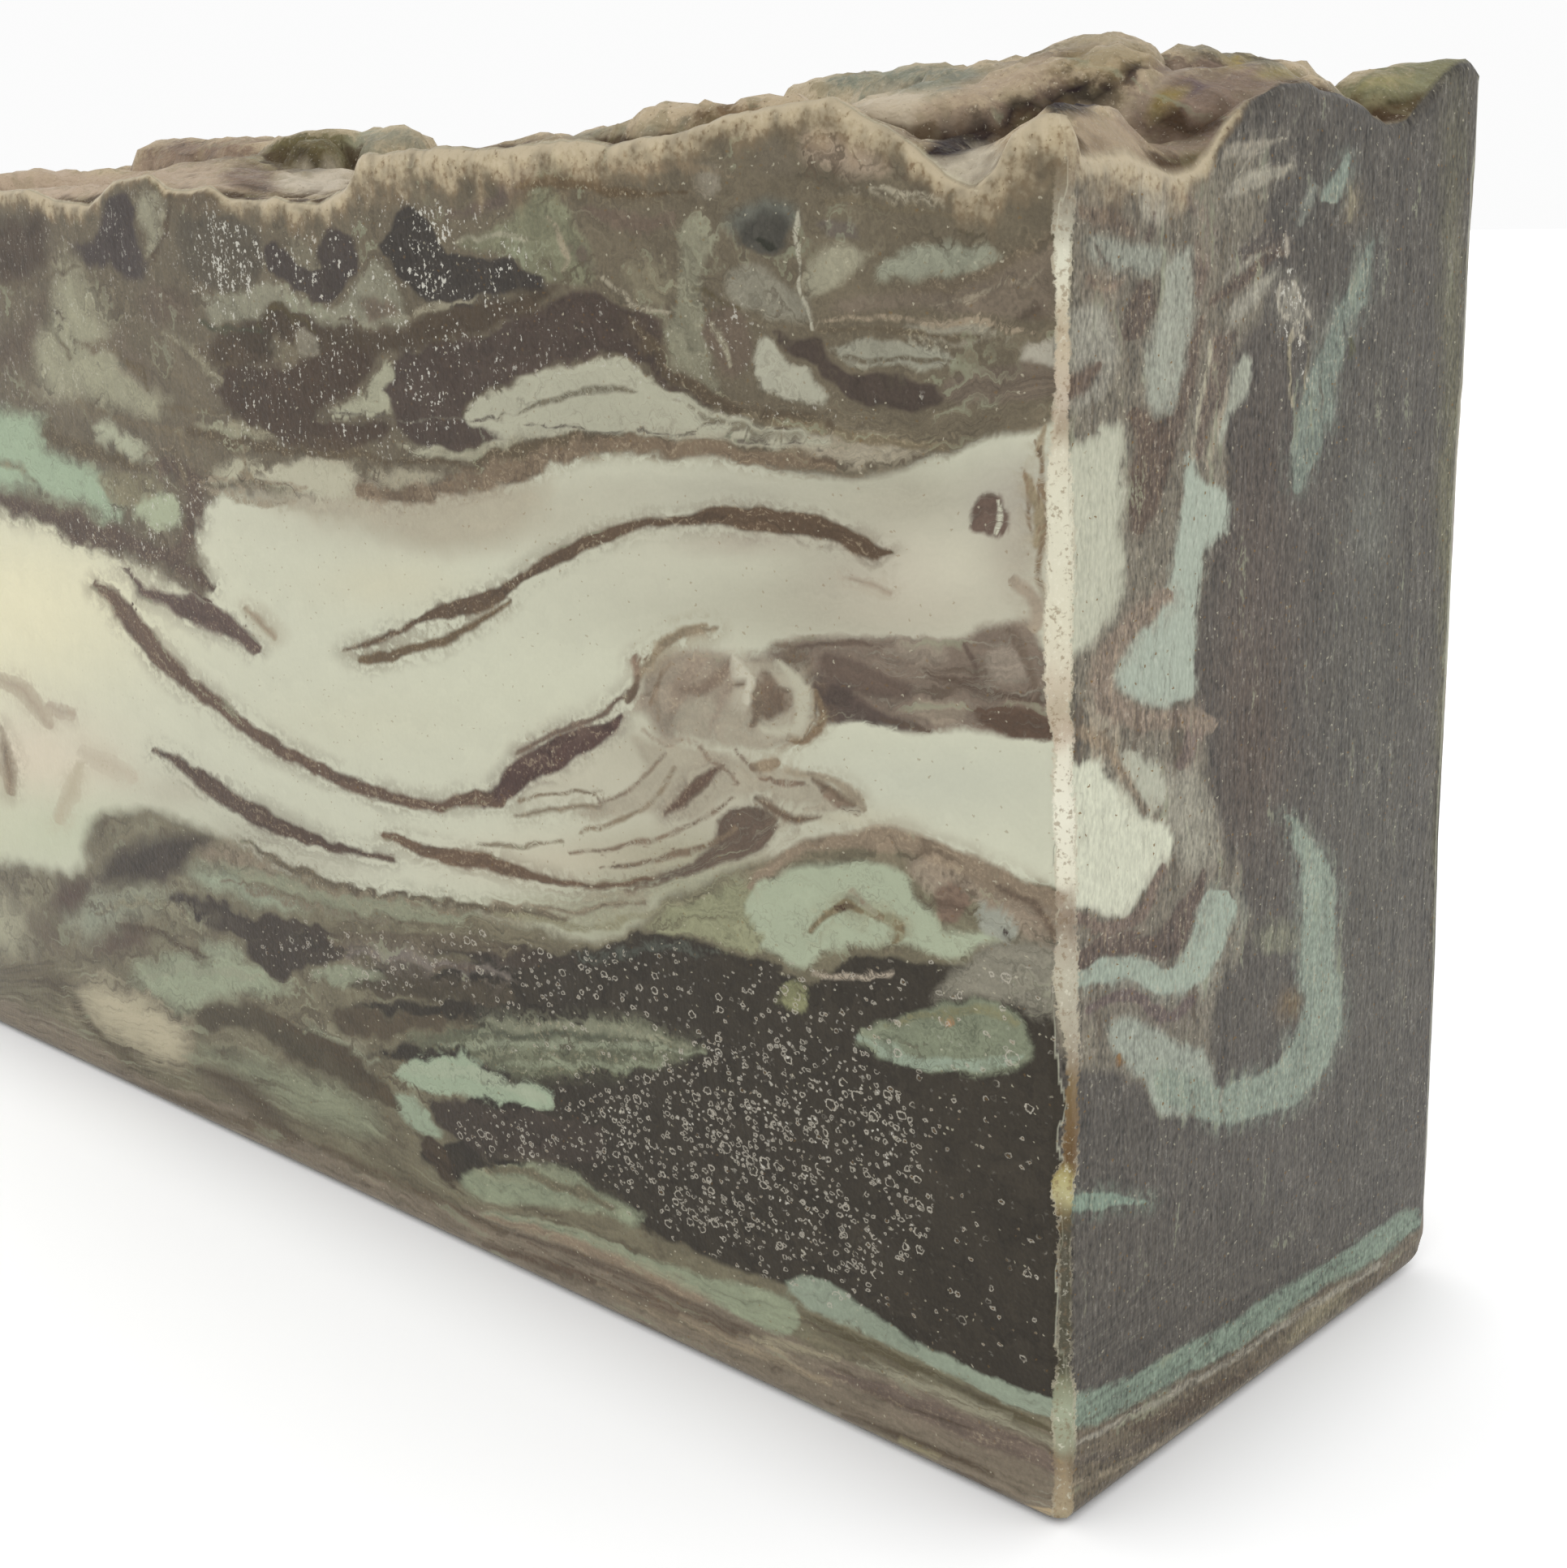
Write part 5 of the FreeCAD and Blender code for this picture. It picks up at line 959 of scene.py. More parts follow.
GROUND[endy] = lin((92, 88, 82))
blob(endy, 1550, 700, 55, 250, (96, 87, 80), 0.7)
blob(endy, 1540, 920, 40, 120, (99, 88, 79), 0.7)
blob(endy, 1700, 900, 60, 500, (97, 95, 87), 0.5)
blob(endy, 1668, 250, 15, 22, (134, 122, 98), 0.5)
blob(endy, 1640, 410, 16, 14, (165, 165, 150), 0.5)
blob(endy, 1590, 1240, 14, 18, (146, 122, 84), 0.5)
blob(endy, 1592, 375, 20, 26, (136, 132, 120), 0.8)
blob(endy, 1560, 1440, 160, 45, (96, 92, 86), 0.5)
blob(endy, 1420, 1560, 100, 80, (96, 91, 84), 0.5)
blob(endy, 1400, 205, 70, 26, (178, 164, 138), 0.7)
blob(endy, 1340, 260, 40, 60, (160, 148, 128), 0.7)
blob(endy, 1790, 700, 14, 600, (128, 126, 96), 0.45)
blob(endy, 1690, 640, 22, 60, (126, 128, 118), 0.35)

# the trimmed edge: height in the picture, its left and right limit there, colour, strength; the pale colours are partly
# the cut soap's own and partly a painted highlight and glow of the thin translucent edge
ET = [(150, 1300, 1322, (150, 130, 105), 0), (225, 1298, 1326, (176, 165, 145), 0.25), (283, 1297, 1324, (198, 193, 173), 0.7),
      (320, 1301, 1320, (216, 214, 194), 1), (367, 1302, 1319, (214, 208, 186), 1), (400, 1304, 1318, (192, 176, 150), 0.8),
      (440, 1302, 1318, (200, 186, 162), 0.9), (500, 1302, 1318, (204, 190, 170), 0.8), (530, 1300, 1316, (182, 165, 141), 0.7),
      (560, 1298, 1322, (212, 206, 184), 1), (600, 1290, 1325, (218, 214, 192), 1), (700, 1288, 1325, (218, 214, 192), 1),
      (760, 1286, 1323, (217, 212, 189), 1), (815, 1286, 1322, (214, 207, 185), 1), (850, 1288, 1322, (206, 194, 172), 0.9),
      (880, 1290, 1318, (196, 182, 158), 0.8), (910, 1298, 1326, (200, 184, 164), 0.9), (930, 1300, 1322, (224, 219, 199), 1),
      (1000, 1300, 1325, (232, 229, 210), 1), (1085, 1301, 1326, (224, 220, 199), 1), (1105, 1303, 1327, (168, 152, 134), 0.7),
      (1145, 1303, 1327, (160, 146, 128), 0.7), (1165, 1300, 1328, (178, 168, 150), 0.9), (1200, 1298, 1328, (192, 186, 166), 0.95),
      (1270, 1310, 1330, (182, 174, 155), 0.9), (1300, 1316, 1330, (164, 152, 132), 0.8), (1330, 1316, 1330, (142, 120, 86), 0.75),
      (1440, 1308, 1328, (116, 90, 60), 0.7), (1452, 1300, 1325, (172, 160, 108), 0.95), (1480, 1300, 1322, (188, 182, 140), 1),
      (1498, 1304, 1322, (120, 102, 72), 0.7), (1520, 1304, 1320, (90, 87, 72), 0.6), (1690, 1304, 1321, (94, 92, 76), 0.6),
      (1705, 1299, 1325, (142, 143, 118), 0.9), (1740, 1298, 1325, (166, 172, 148), 1), (1780, 1300, 1327, (160, 162, 138), 0.9),
      (1800, 1300, 1325, (150, 134, 109), 0.6), (1840, 1298, 1322, (172, 156, 129), 0.8), (1900, 1298, 1322, (186, 172, 142), 0.9)]
ey = np.array([a[0] for a in ET], float)
e0, e1, es = (np.interp(PX[:, 1], ey, np.array([a[i] for a in ET], float)) for i in (1, 2, 4))
ec = np.array([lin(a[3]) for a in ET])
wy = PX[:, 1] + 9 * vnoise(x * 3.0, y * 3.0, z * 0.8, 71)
EDGEC = np.stack([np.interp(wy, ey, ec[:, i]) for i in range(3)], 1)
near_edge = ((F == FRONT) & (x > 40)) | (F == STRIP) | ((F == END) & (y < -10))
EDGEV = np.where(near_edge, np.clip(np.minimum(X0 - e0, e1 - X0) / 3.0, -6, 6), -6.0)
EDGES = np.where(near_edge, es, 0.0)

# the stirred top: tan crust with lumps of the other soaps
m = F == TOP
GROUND[m] = lin((170, 154, 128))
TT = np.stack([x, y], 1)
for cx, cy, rx, ry, c, a in [
        (-38, -4, 8, 7, (188, 170, 138), 0.8), (-28, 1, 7, 5, (168, 142, 116), 0.8), (-30, 7, 6, 4, (186, 164, 130), 0.7),
        (-14.5, -3, 3.4, 3.2, (132, 128, 92), 0.85), (-10.5, 0.5, 3, 3, (170, 180, 146), 0.8), (-20, 6, 6, 4, (150, 134, 106), 0.6),
        (-4, -6, 6, 4, (190, 172, 140), 0.7), (2, 2, 5, 4, (150, 134, 106), 0.6), (16, 11.5, 6, 3, (150, 158, 134), 0.8),
        (8, -8, 5, 4, (176, 156, 124), 0.6), (12, 2, 6, 4, (196, 184, 150), 0.6), (22, -2, 5, 4, (146, 126, 100), 0.6),
        (24, 6, 4, 4, (130, 122, 100), 0.6), (30, -10, 5, 3, (150, 124, 92), 0.6), (36, -5, 4, 4, (214, 204, 176), 0.85),
        (40, 9, 4.5, 3, (128, 124, 92), 0.75), (45.5, 12, 2.4, 2.6, (148, 142, 92), 0.8), (41.5, -6, 2.4, 5, (132, 108, 84), 0.7),
        (44, -10, 3, 4, (186, 162, 128), 0.7), (30, 4, 4, 3, (188, 180, 152), 0.6), (-44, 8, 4, 5, (196, 186, 156), 0.6),
        (-6, 11, 8, 3, (178, 162, 128), 0.6), (28, 13, 6, 2, (192, 178, 144), 0.6)]:
    blob(m, cx, cy, rx, ry, c, a, TT)
blob(m, 38, -2, 9, 11, (112, 97, 82), 0.75, TT)
blob(m, 36, -7, 3, 2.4, (196, 184, 158), 0.8, TT)
blob(m, 44.5, 12, 3, 3, (128, 126, 92), 0.85, TT)
blob(m, -34, 2, 8, 6, (150, 128, 108), 0.6, TT)

# ------------------------------------------------------------------ the way the layers run
ISO = [(0, [(-400, 90), (0, 90), (600, 90), (1000, 60), (1320, 60)]),
       (8, [(-300, 420), (0, 400), (150, 430), (300, 470), (450, 450), (600, 420), (720, 370), (800, 400), (870, 480), (1000, 500), (1150, 490), (1300, 460)]),
       (13, [(-300, 560), (0, 560), (100, 570), (230, 610), (330, 600), (450, 610), (560, 598), (640, 575), (700, 550), (800, 550), (950, 562), (1100, 570), (1300, 500)]),
       (17, [(-200, 640), (0, 630), (120, 660), (260, 720), (330, 780), (430, 800), (500, 775), (600, 740), (700, 680), (800, 645), (930, 640), (1090, 685), (1290, 620)]),
       (22, [(-200, 690), (0, 700), (120, 725), (200, 815), (300, 895), (420, 960), (560, 990), (640, 955), (760, 890), (850, 830), (1000, 800), (1280, 790)]),
       (26, [(-200, 880), (0, 850), (100, 900), (190, 925), (300, 1000), (440, 1053), (560, 1060), (700, 1090), (800, 1085), (950, 1010), (1000, 900), (1150, 890), (1290, 900)]),
       (30, [(-200, 1080), (0, 1060), (100, 1060), (200, 1010), (300, 1050), (450, 1105), (640, 1135), (800, 1110), (950, 1080), (1100, 1035), (1290, 1110)]),
       (34, [(-200, 1190), (0, 1190), (120, 1170), (250, 1130), (350, 1150), (500, 1160), (700, 1180), (850, 1160), (1000, 1200), (1150, 1190), (1297, 1180)]),
       (44, [(-200, 1215), (0, 1235), (150, 1290), (300, 1330), (450, 1380), (600, 1480), (700, 1500), (900, 1590), (1100, 1660), (1300, 1740)]),
       (50, [(-300, 1120), (0, 1262), (600, 1570), (1000, 1760), (1310, 1885)])]
ALONG = np.zeros(N)
ACROSS = np.zeros(N)
prev = np.full(N, -1e9)
levels = []
for val, line in ISO:
    a = np.array(line, float)
    yy = np.interp(PX[:, 0], a[:, 0], a[:, 1])
    yy = np.maximum(yy, prev + 12)
    levels.append((val, yy))
    prev = yy
for (v0, y0), (v1, y1) in zip(levels[:-1], levels[1:]):
    t = (PX[:, 1] - y0) / (y1 - y0)
    k = (t >= 0) & (t < 1) & wide
    ACROSS[k] = v0 + (v1 - v0) * t[k]
k = wide & (PX[:, 1] >= levels[-1][1])
ACROSS[k] = 50 + (PX[k, 1] - levels[-1][1][k]) * 0.03
ALONG[wide] = patpos[wide, 0]
foot = smooth(9.0, 6.0, patpos[:, 2])
ACROSS[endy] = patpos[endy, 1] * (1 - foot[endy]) + patpos[endy, 2] * foot[endy]
ALONG[endy] = patpos[endy, 2] * (1 - foot[endy]) + patpos[endy, 1] * foot[endy]
k = F == TOP
ALONG[k] = x[k]
ACROSS[k] = y[k] * 0.6 + z[k] * 0.5


def cover(sel, pts, soft=30):
    P = chaikin(np.array(pts, float), True, 1)
    d, _, _, _ = near_polyline(PX, P, np.roll(P, -1, 0))
    v = np.where(inside_poly(PX, P), d, -d)
    return smooth(-soft, soft, v) * sel


RINGS = cover(wide, [(690, 1340), (800, 1320), (880, 1280), (960, 1262), (1060, 1300), (1130, 1345), (1140, 1480), (1120, 1570), (1060, 1610), (960, 1570), (860, 1530), (760, 1462), (700, 1410)], 34)
RINGS = np.maximum(RINGS, 0.42 * cover(wide, [(300, 1125), (600, 1160), (760, 1160), (960, 1200), (1130, 1190), (1120, 1290), (900, 1270), (680, 1250), (520, 1230), (330, 1200)], 20))
RINGS = np.maximum(RINGS, 0.7 * cover(wide, [(540, 1370), (700, 1375), (700, 1440), (600, 1435)], 16))
RINGS = np.maximum(RINGS, 0.15 * cover(wide, [(1060, 1290), (1310, 1300), (1310, 1740), (1120, 1650), (1060, 1600)], 30))
RINGS = np.maximum(RINGS, 0.22 * cover(wide, [(600, 1240), (1310, 1150), (1310, 1330), (880, 1340), (600, 1340)], 20))
# where the pale dashes gather: ash specks and painted glints
GLINT = cover(wide, [(215, 255), (300, 255), (440, 275), (450, 235), (560, 235), (680, 330), (720, 390), (640, 450), (560, 560), (300, 560), (260, 470), (225, 400)], 24)
GLINT = np.maximum(GLINT, 0.7 * cover(wide, [(860, 360), (935, 365), (935, 470), (870, 470)], 14))
GLINT = np.maximum(GLINT, 0.55 * cover(wide, [(640, 370), (820, 370), (900, 500), (1160, 480), (1160, 520), (900, 530), (740, 450), (640, 480)], 16))
GLINT = np.maximum(GLINT, 0.4 * cover(wide, [(-300, 150), (220, 190), (220, 480), (-300, 600)], 30))
GLINT *= 0.62
GLINT = np.maximum(GLINT, cover(wide, [(240, 268), (300, 262), (324, 300), (330, 350), (300, 372), (250, 360), (232, 310)], 12))
GLINT = np.maximum(GLINT, cover(wide, [(500, 240), (556, 250), (566, 300), (560, 364), (512, 372), (494, 310)], 12))
GLINT = np.maximum(GLINT, 0.8 * cover(endy, [(1572, 280), (1606, 280), (1622, 480), (1584, 480)], 10))
GLINT = np.maximum(GLINT, 0.5 * cover(wide, [(180, 560), (260, 560), (260, 740), (100, 690), (60, 640)], 16))
SHARPK = smooth(-100, 420, PX[:, 0])                       # the far left of the wide face is smoother
SHARPK[~wide] = 1.0
SHARPK[F == BACK] = 0.75
SHARPK[F == BASE] = 0.0

# hollows and crests of the top; the shader paints shade into the hollows and a highlight onto the crests
TOP_RELIEF_SHADING = np.zeros((N,))
tm = F == TOP
hx, hy = x[tm], y[tm]
near_h = np.mean([top_height(hx + a * 1.1, hy + b * 1.1) for a, b in ((1, 0), (-1, 0), (0, 1), (0, -1), (.7, .7), (-.7, .7), (.7, -.7), (-.7, -.7))], axis=0)
wide_h = np.mean([top_height(hx + a * 2.6, hy + b * 2.6) for a, b in ((1, 0), (-1, 0), (0, 1), (0, -1), (.7, .7), (-.7, .7), (.7, -.7), (-.7, -.7))], axis=0)
TOP_RELIEF_SHADING[tm] = np.clip((SHARP[tm, 2] - near_h) * 1.6 + (SHARP[tm, 2] - wide_h) * 0.5, -1, 1)
# what the picture shows of the top: patches in picture coordinates (soft, amount, colour, points); some dark ones are
# painted shade in crevices and under lumps, and each patch also sets the painted hollow shade or crest highlight
PXT = to_picture(V)
PXT = PXT + np.stack([5.0 * fbm(x * 0.9, y * 0.9, z * 0.9, 2, 93), 4.0 * fbm(x * 0.9, y * 0.9, z * 0.9, 2, 95)], 1)


def top_patch(soft, amount, colour, *pts):
    P = chaikin(np.array(pts, float), True, 2)
    T = PXT
    idx = np.nonzero(tm & (T[:, 0] > P[:, 0].min() - soft * 2) & (T[:, 0] < P[:, 0].max() + soft * 2) & (T[:, 1] > P[:, 1].min() - soft * 2) & (T[:, 1] < P[:, 1].max() + soft * 2))[0]
    d, _, _, _ = near_polyline(T[idx], P, np.roll(P, -1, 0))
    w = smooth(-soft, soft, np.where(inside_poly(T[idx], P), d, -d)) * amount
    GROUND[idx] = GROUND[idx] * (1 - w[:, None]) + lin(colour) * w[:, None]
    # pale patches take the painted crest highlight, dark ones the painted hollow shade
    TOP_RELIEF_SHADING[idx] = TOP_RELIEF_SHADING[idx] * (1 - 0.85 * w) + (0.12 if colour[0] > 110 else -0.1) * 0.85 * w
    # the crust specks and the painted hollow shade and crest highlight stay off the patch
    SHARPK[idx] = np.minimum(SHARPK[idx], 1 - 0.85 * w)    # the loose crust mixes stay off it


# left mounds
top_patch(8, 0.8, (205, 184, 162), (-60, 205), (60, 205), (150, 215), (120, 245), (-60, 250))
top_patch(7, 0.85, (136, 117, 102), (150, 205), (175, 178), (240, 172), (320, 174), (330, 192), (250, 200), (180, 204))
top_patch(7, 0.75, (199, 179, 157), (105, 222), (170, 206), (280, 200), (330, 214), (330, 236), (240, 232), (110, 240))
top_patch(6, 0.8, (128, 109, 96), (272, 210), (300, 200), (336, 206), (340, 226), (340, 240), (300, 236), (272, 226))
top_patch(7, 0.85, (104, 94, 66), (330, 192), (345, 168), (380, 160), (430, 164), (436, 190), (404, 210), (370, 214), (340, 206))
top_patch(5, 0.8, (70, 62, 42), (352, 180), (372, 184), (396, 196), (414, 196), (396, 212), (366, 208))
top_patch(6, 0.85, (158, 155, 137), (432, 172), (460, 158), (520, 156), (524, 176), (480, 180), (436, 186))
top_patch(7, 0.8, (214, 203, 184), (340, 210), (400, 212), (440, 200), (430, 232), (390, 242), (340, 240))
# middle
top_patch(6, 0.8, (150, 148, 128), (696, 168), (740, 158), (800, 150), (850, 142), (840, 158), (780, 168), (720, 172))
# painted shadow under the brown lump
top_patch(5, 0.85, (108, 90, 70), (832, 148), (850, 134), (900, 128), (940, 122), (930, 138), (880, 150))
top_patch(7, 0.85, (136, 139, 124), (1005, 110), (1020, 92), (1080, 82), (1170, 78), (1225, 90), (1190, 112), (1120, 116), (1060, 112))
top_patch(7, 0.85, (214, 200, 176), (1040, 116), (1090, 112), (1150, 112), (1180, 108), (1140, 132), (1120, 152), (1080, 144), (1050, 130))
top_patch(7, 0.9, (205, 195, 174), (1120, 190), (1180, 182), (1240, 176), (1232, 205), (1205, 236), (1180, 240), (1150, 212))
# right mass
top_patch(8, 0.7, (194, 174, 150), (1120, 150), (1150, 118), (1200, 100), (1240, 80), (1300, 64), (1300, 92), (1250, 112), (1190, 132), (1150, 156))
top_patch(7, 0.7, (146, 128, 112), (1140, 170), (1180, 140), (1240, 118), (1290, 100), (1350, 100), (1300, 122), (1250, 142), (1190, 172))
# painted shade: the dark crevice across the right mass (this line and the next)
top_patch(4, 1.0, (58, 46, 38), (1128, 190), (1150, 172), (1186, 158), (1226, 138), (1262, 118), (1280, 128), (1256, 146), (1228, 172), (1190, 190), (1150, 198))
top_patch(4, 1.0, (58, 48, 40), (1284, 136), (1300, 114), (1336, 100), (1376, 86), (1412, 70), (1418, 82), (1392, 104), (1360, 124), (1330, 144), (1304, 146))
top_patch(6, 0.7, (160, 144, 110), (1292, 76), (1330, 60), (1400, 52), (1428, 64), (1404, 84), (1352, 94), (1300, 96))
top_patch(5, 0.6, (214, 200, 176), (1292, 60), (1330, 46), (1380, 40), (1420, 44), (1400, 54), (1340, 60))
top_patch(9, 0.8, (140, 122, 110), (1398, 104), (1440, 72), (1500, 62), (1560, 84), (1600, 104), (1545, 150), (1500, 186), (1440, 190), (1400, 164), (1372, 134))
top_patch(6, 0.75, (176, 160, 140), (1345, 150), (1380, 116), (1420, 98), (1444, 84), (1470, 78), (1450, 96), (1410, 124), (1392, 150), (1360, 172))
top_patch(5, 1.0, (82, 68, 57), (1400, 142), (1432, 128), (1476, 140), (1514, 144), (1500, 166), (1460, 174), (1416, 168))
top_patch(4, 0.85, (146, 130, 82), (1412, 122), (1440, 106), (1466, 108), (1456, 122), (1432, 132), (1414, 136))
top_patch(4, 0.7, (100, 88, 98), (1460, 98), (1480, 100), (1484, 116), (1468, 120))
top_patch(6, 0.8, (134, 131, 113), (1440, 62), (1496, 50), (1560, 60), (1596, 88), (1550, 80), (1480, 70))
top_patch(4, 0.8, (164, 146, 92), (1508, 74), (1524, 62), (1540, 70), (1532, 84), (1514, 84))
top_patch(4, 0.8, (160, 148, 104), (1540, 88), (1574, 82), (1604, 90), (1590, 98), (1556, 98))
top_patch(5, 0.7, (190, 176, 152), (1470, 196), (1500, 180), (1524, 150), (1560, 118), (1590, 104), (1560, 130), (1530, 172), (1500, 200))
top_patch(6, 0.9, (178, 160, 136), (1322, 140), (1350, 132), (1384, 142), (1404, 166), (1424, 196), (1400, 202), (1360, 196), (1328, 190))
top_patch(5, 0.7, (146, 126, 108), (1370, 142), (1390, 140), (1408, 158), (1400, 166), (1380, 156))
# far corner lump
top_patch(6, 0.9, (136, 134, 106), (1640, 108), (1670, 94), (1710, 82), (1770, 68), (1830, 66), (1840, 100), (1790, 108), (1740, 126), (1700, 134), (1660, 120))
top_patch(4, 0.8, (166, 158, 112), (1668, 104), (1690, 96), (1720, 92), (1750, 96), (1720, 104), (1690, 112))
top_patch(4, 0.85, (74, 66, 48), (1684, 124), (1716, 116), (1744, 122), (1766, 116), (1752, 134), (1722, 136), (1700, 132))
top_patch(5, 0.9, (112, 110, 98), (1780, 104), (1796, 84), (1812, 68), (1840, 70), (1840, 130), (1800, 140), (1770, 132))
top_patch(5, 0.85, (112, 110, 98), (1745, 150), (1770, 132), (1800, 100), (1840, 90), (1840, 160), (1780, 160))
MASKS = np.stack([RINGS, GLINT, SHARPK, (F == TOP) * 1.0], 1)
# how thick the skin along the rim is
RIMS = np.interp(X0, [-200, 60, 110, 140, 260, 300, 420, 440, 640, 700, 850, 880, 960, 1060, 1100, 1200, 1230, 1290, 1330, 1460, 1500, 1560, 1640, 1700, 1720, 1760, 1830],
                 [0.8, 0.9, 0.7, 0.35, 0.35, 0.9, 1.0, 1.5, 1.5, 1.25, 1.1, 0.8, 1.2, 1.3, 0.9, 1.1, 1.9, 2.2, 1.5, 1.0, 0.6, 0.4, 0.45, 0.3, 0.12, 0.05, 0.04])
RIMS[(F == BACK) | (F == LEFT)] = 0.75
RIMS[F == END] *= smooth(1640, 1490, X0[F == END]) * 0.9 + 0.1   # past the middle of the end face the skin fades out
BELOW = BELOW + smooth(1480, 1600, X0) * endy * 0.5
KIND = np.stack([endy * 1.0, EDGES, BELOW / RIMS / 10.0, TOP_RELIEF_SHADING * 0.5 + 0.5], 1)
STIR = np.where(wide, 0.25 + 0.75 * smooth(4.0, 10.0, patpos[:, 2]), 0.35)
STIR = np.where(wide & (X0 > -150) & (Y0 > np.interp(X0, [0, 260, 640, 1300], [650, 720, 600, 560])) & (Y0 < np.interp(X0, [0, 260, 640, 900, 1300], [1060, 1030, 1120, 1080, 1060])), 0.5, STIR)


# ------------------------------------------------------------------ the soap's material
mat = bpy.data.materials.new("soap")
mat.use_nodes = True
tree = mat.node_tree
tree.nodes.clear()
_at = [0]


def node(kind, **set_):
    n = tree.nodes.new(kind)
    _at[0] += 1
    n.location = ((_at[0] % 12) * 190, -(_at[0] // 12) * 260)
    for k, v in set_.items():
        setattr(n, k, v)
    return n


def put(sock, v):
    if isinstance(v, bpy.types.NodeSocket):
        tree.links.new(v, sock)
    elif v is not None:
        if hasattr(sock.default_value, "__len__") and hasattr(v, "__len__") and len(sock.default_value) == 4 and len(v) == 3:
            v = (*v, 1.0)
        sock.default_value = v


def attr(name, out="Fac"):
    return node("ShaderNodeAttribute", attribute_name=name, attribute_type="GEOMETRY").outputs[out]


def math_(op, a, b=None, c=None, clamp=False):
    n = node("ShaderNodeMath", operation=op, use_clamp=clamp)
    put(n.inputs[0], a)
    put(n.inputs[1], b)
    put(n.inputs[2], c)
    return n.outputs[0]


def add(a, b):
    return math_("ADD", a, b)


def sub(a, b):
    return math_("SUBTRACT", a, b)


def mul(a, b):
    return math_("MULTIPLY", a, b)


def step(v, a, b, lo=0.0, hi=1.0):
    n = node("ShaderNodeMapRange", interpolation_type="SMOOTHSTEP")
    put(n.inputs["Value"], v)
    put(n.inputs["From Min"], a)
    put(n.inputs["From Max"], b)
    put(n.inputs["To Min"], lo)
    put(n.inputs["To Max"], hi)
    return n.outputs["Result"]


def mix(f, a, b, how="MIX"):
    n = node("ShaderNodeMix", data_type="RGBA", blend_type=how)
    n.clamp_factor = True
    put(n.inputs[0], f)
    put(n.inputs[6], a)
    put(n.inputs[7], b)
    return n.outputs[2]


def noise(vec, scale, detail=3.0, rough=0.5, out=0, lac=2.0):
    n = node("ShaderNodeTexNoise", noise_dimensions="3D")
    put(n.inputs["Vector"], vec)
    put(n.inputs["Scale"], scale)
    put(n.inputs["Detail"], detail)
    put(n.inputs["Roughness"], rough)
    put(n.inputs["Lacunarity"], lac)
    return n.outputs[out]


def cells(vec, scale, feature="F1", rand=1.0):
    n = node("ShaderNodeTexVoronoi", voronoi_dimensions="2D", feature=feature)
    put(n.inputs["Vector"], vec)
    put(n.inputs["Scale"], scale)
    put(n.inputs["Randomness"], rand)
    return n


def split(sock, color=False):
    n = node("ShaderNodeSeparateColor" if color else "ShaderNodeSeparateXYZ")
    put(n.inputs[0], sock)
    return n.outputs


def vec(a, b, c):
    n = node("ShaderNodeCombineXYZ")
    put(n.inputs[0], a)
    put(n.inputs[1], b)
    put(n.inputs[2], c)
    return n.outputs[0]


def scaled(v, s):
    n = node("ShaderNodeVectorMath", operation="MULTIPLY")
    put(n.inputs[0], v)
    put(n.inputs[1], s)
    return n.outputs[0]


coord = node("ShaderNodeTexCoord").outputs["Object"]
pos = scaled(coord, (1000.0, 1000.0, 1000.0))              # millimetres
flow = split(attr("flow", "Vector"))
along, across = flow[0], flow[1]
masks = split(attr("masks", "Color"), True)
k_ring, k_glint, k_sharp = masks[0], masks[1], masks[2]
is_top = attr("masks", "Alpha")
kind = split(attr("kind", "Color"), True)
is_end, is_strip, below = kind[0], kind[1], mul(kind[2], 10.0)

w1 = sub(noise(pos, 0.75, 2.0, 0.55), 0.5)
w2 = sub(noise(pos, 2.8, 2.0, 0.6), 0.5)
fold = add(across, mul(mul(add(w1, mul(w2, 0.3)), 3.6), flow[2]))        # the layers fold over one another
run = add(along, mul(mul(w1, 5.0), flow[2]))
streak = sub(noise(vec(mul(run, 0.15), mul(fold, 1.25), 0.0), 1.0, 2.0, 0.62), 0.5)
streak2 = sub(noise(vec(mul(run, 0.42), mul(fold, 4.4), 2.0), 1.0, 2.0, 0.6), 0.5)
bands = sub(noise(vec(mul(run, 0.2), mul(fold, 0.62), 7.0), 1.0, 2.0, 0.6), 0.5)
fine = sub(noise(pos, 5.5, 2.0, 0.65), 0.5)
ragged = add(add(mul(w1, 1.5), mul(w2, 0.8)), add(mul(streak, 4.0), mul(streak2, 1.1)))
crisp = add(0.6, mul(k_sharp, 0.5))


def lightness(c):
    n = node("ShaderNodeRGBToBW")
    put(n.inputs[0], c)
    return n.outputs[0]


def vein_mask(s, wob):
    a = split(attr("vein%d" % s, "Vector"))
    inner = math_("DIVIDE", sub(add(a[1], mul(ragged, wob)), math_("ABSOLUTE", a[0])), attr("vsoft%d" % s))
    return mul(step(mul(inner, crisp), -1.0, 1.0), step(a[2], 4.5, 1.5)), a[2]


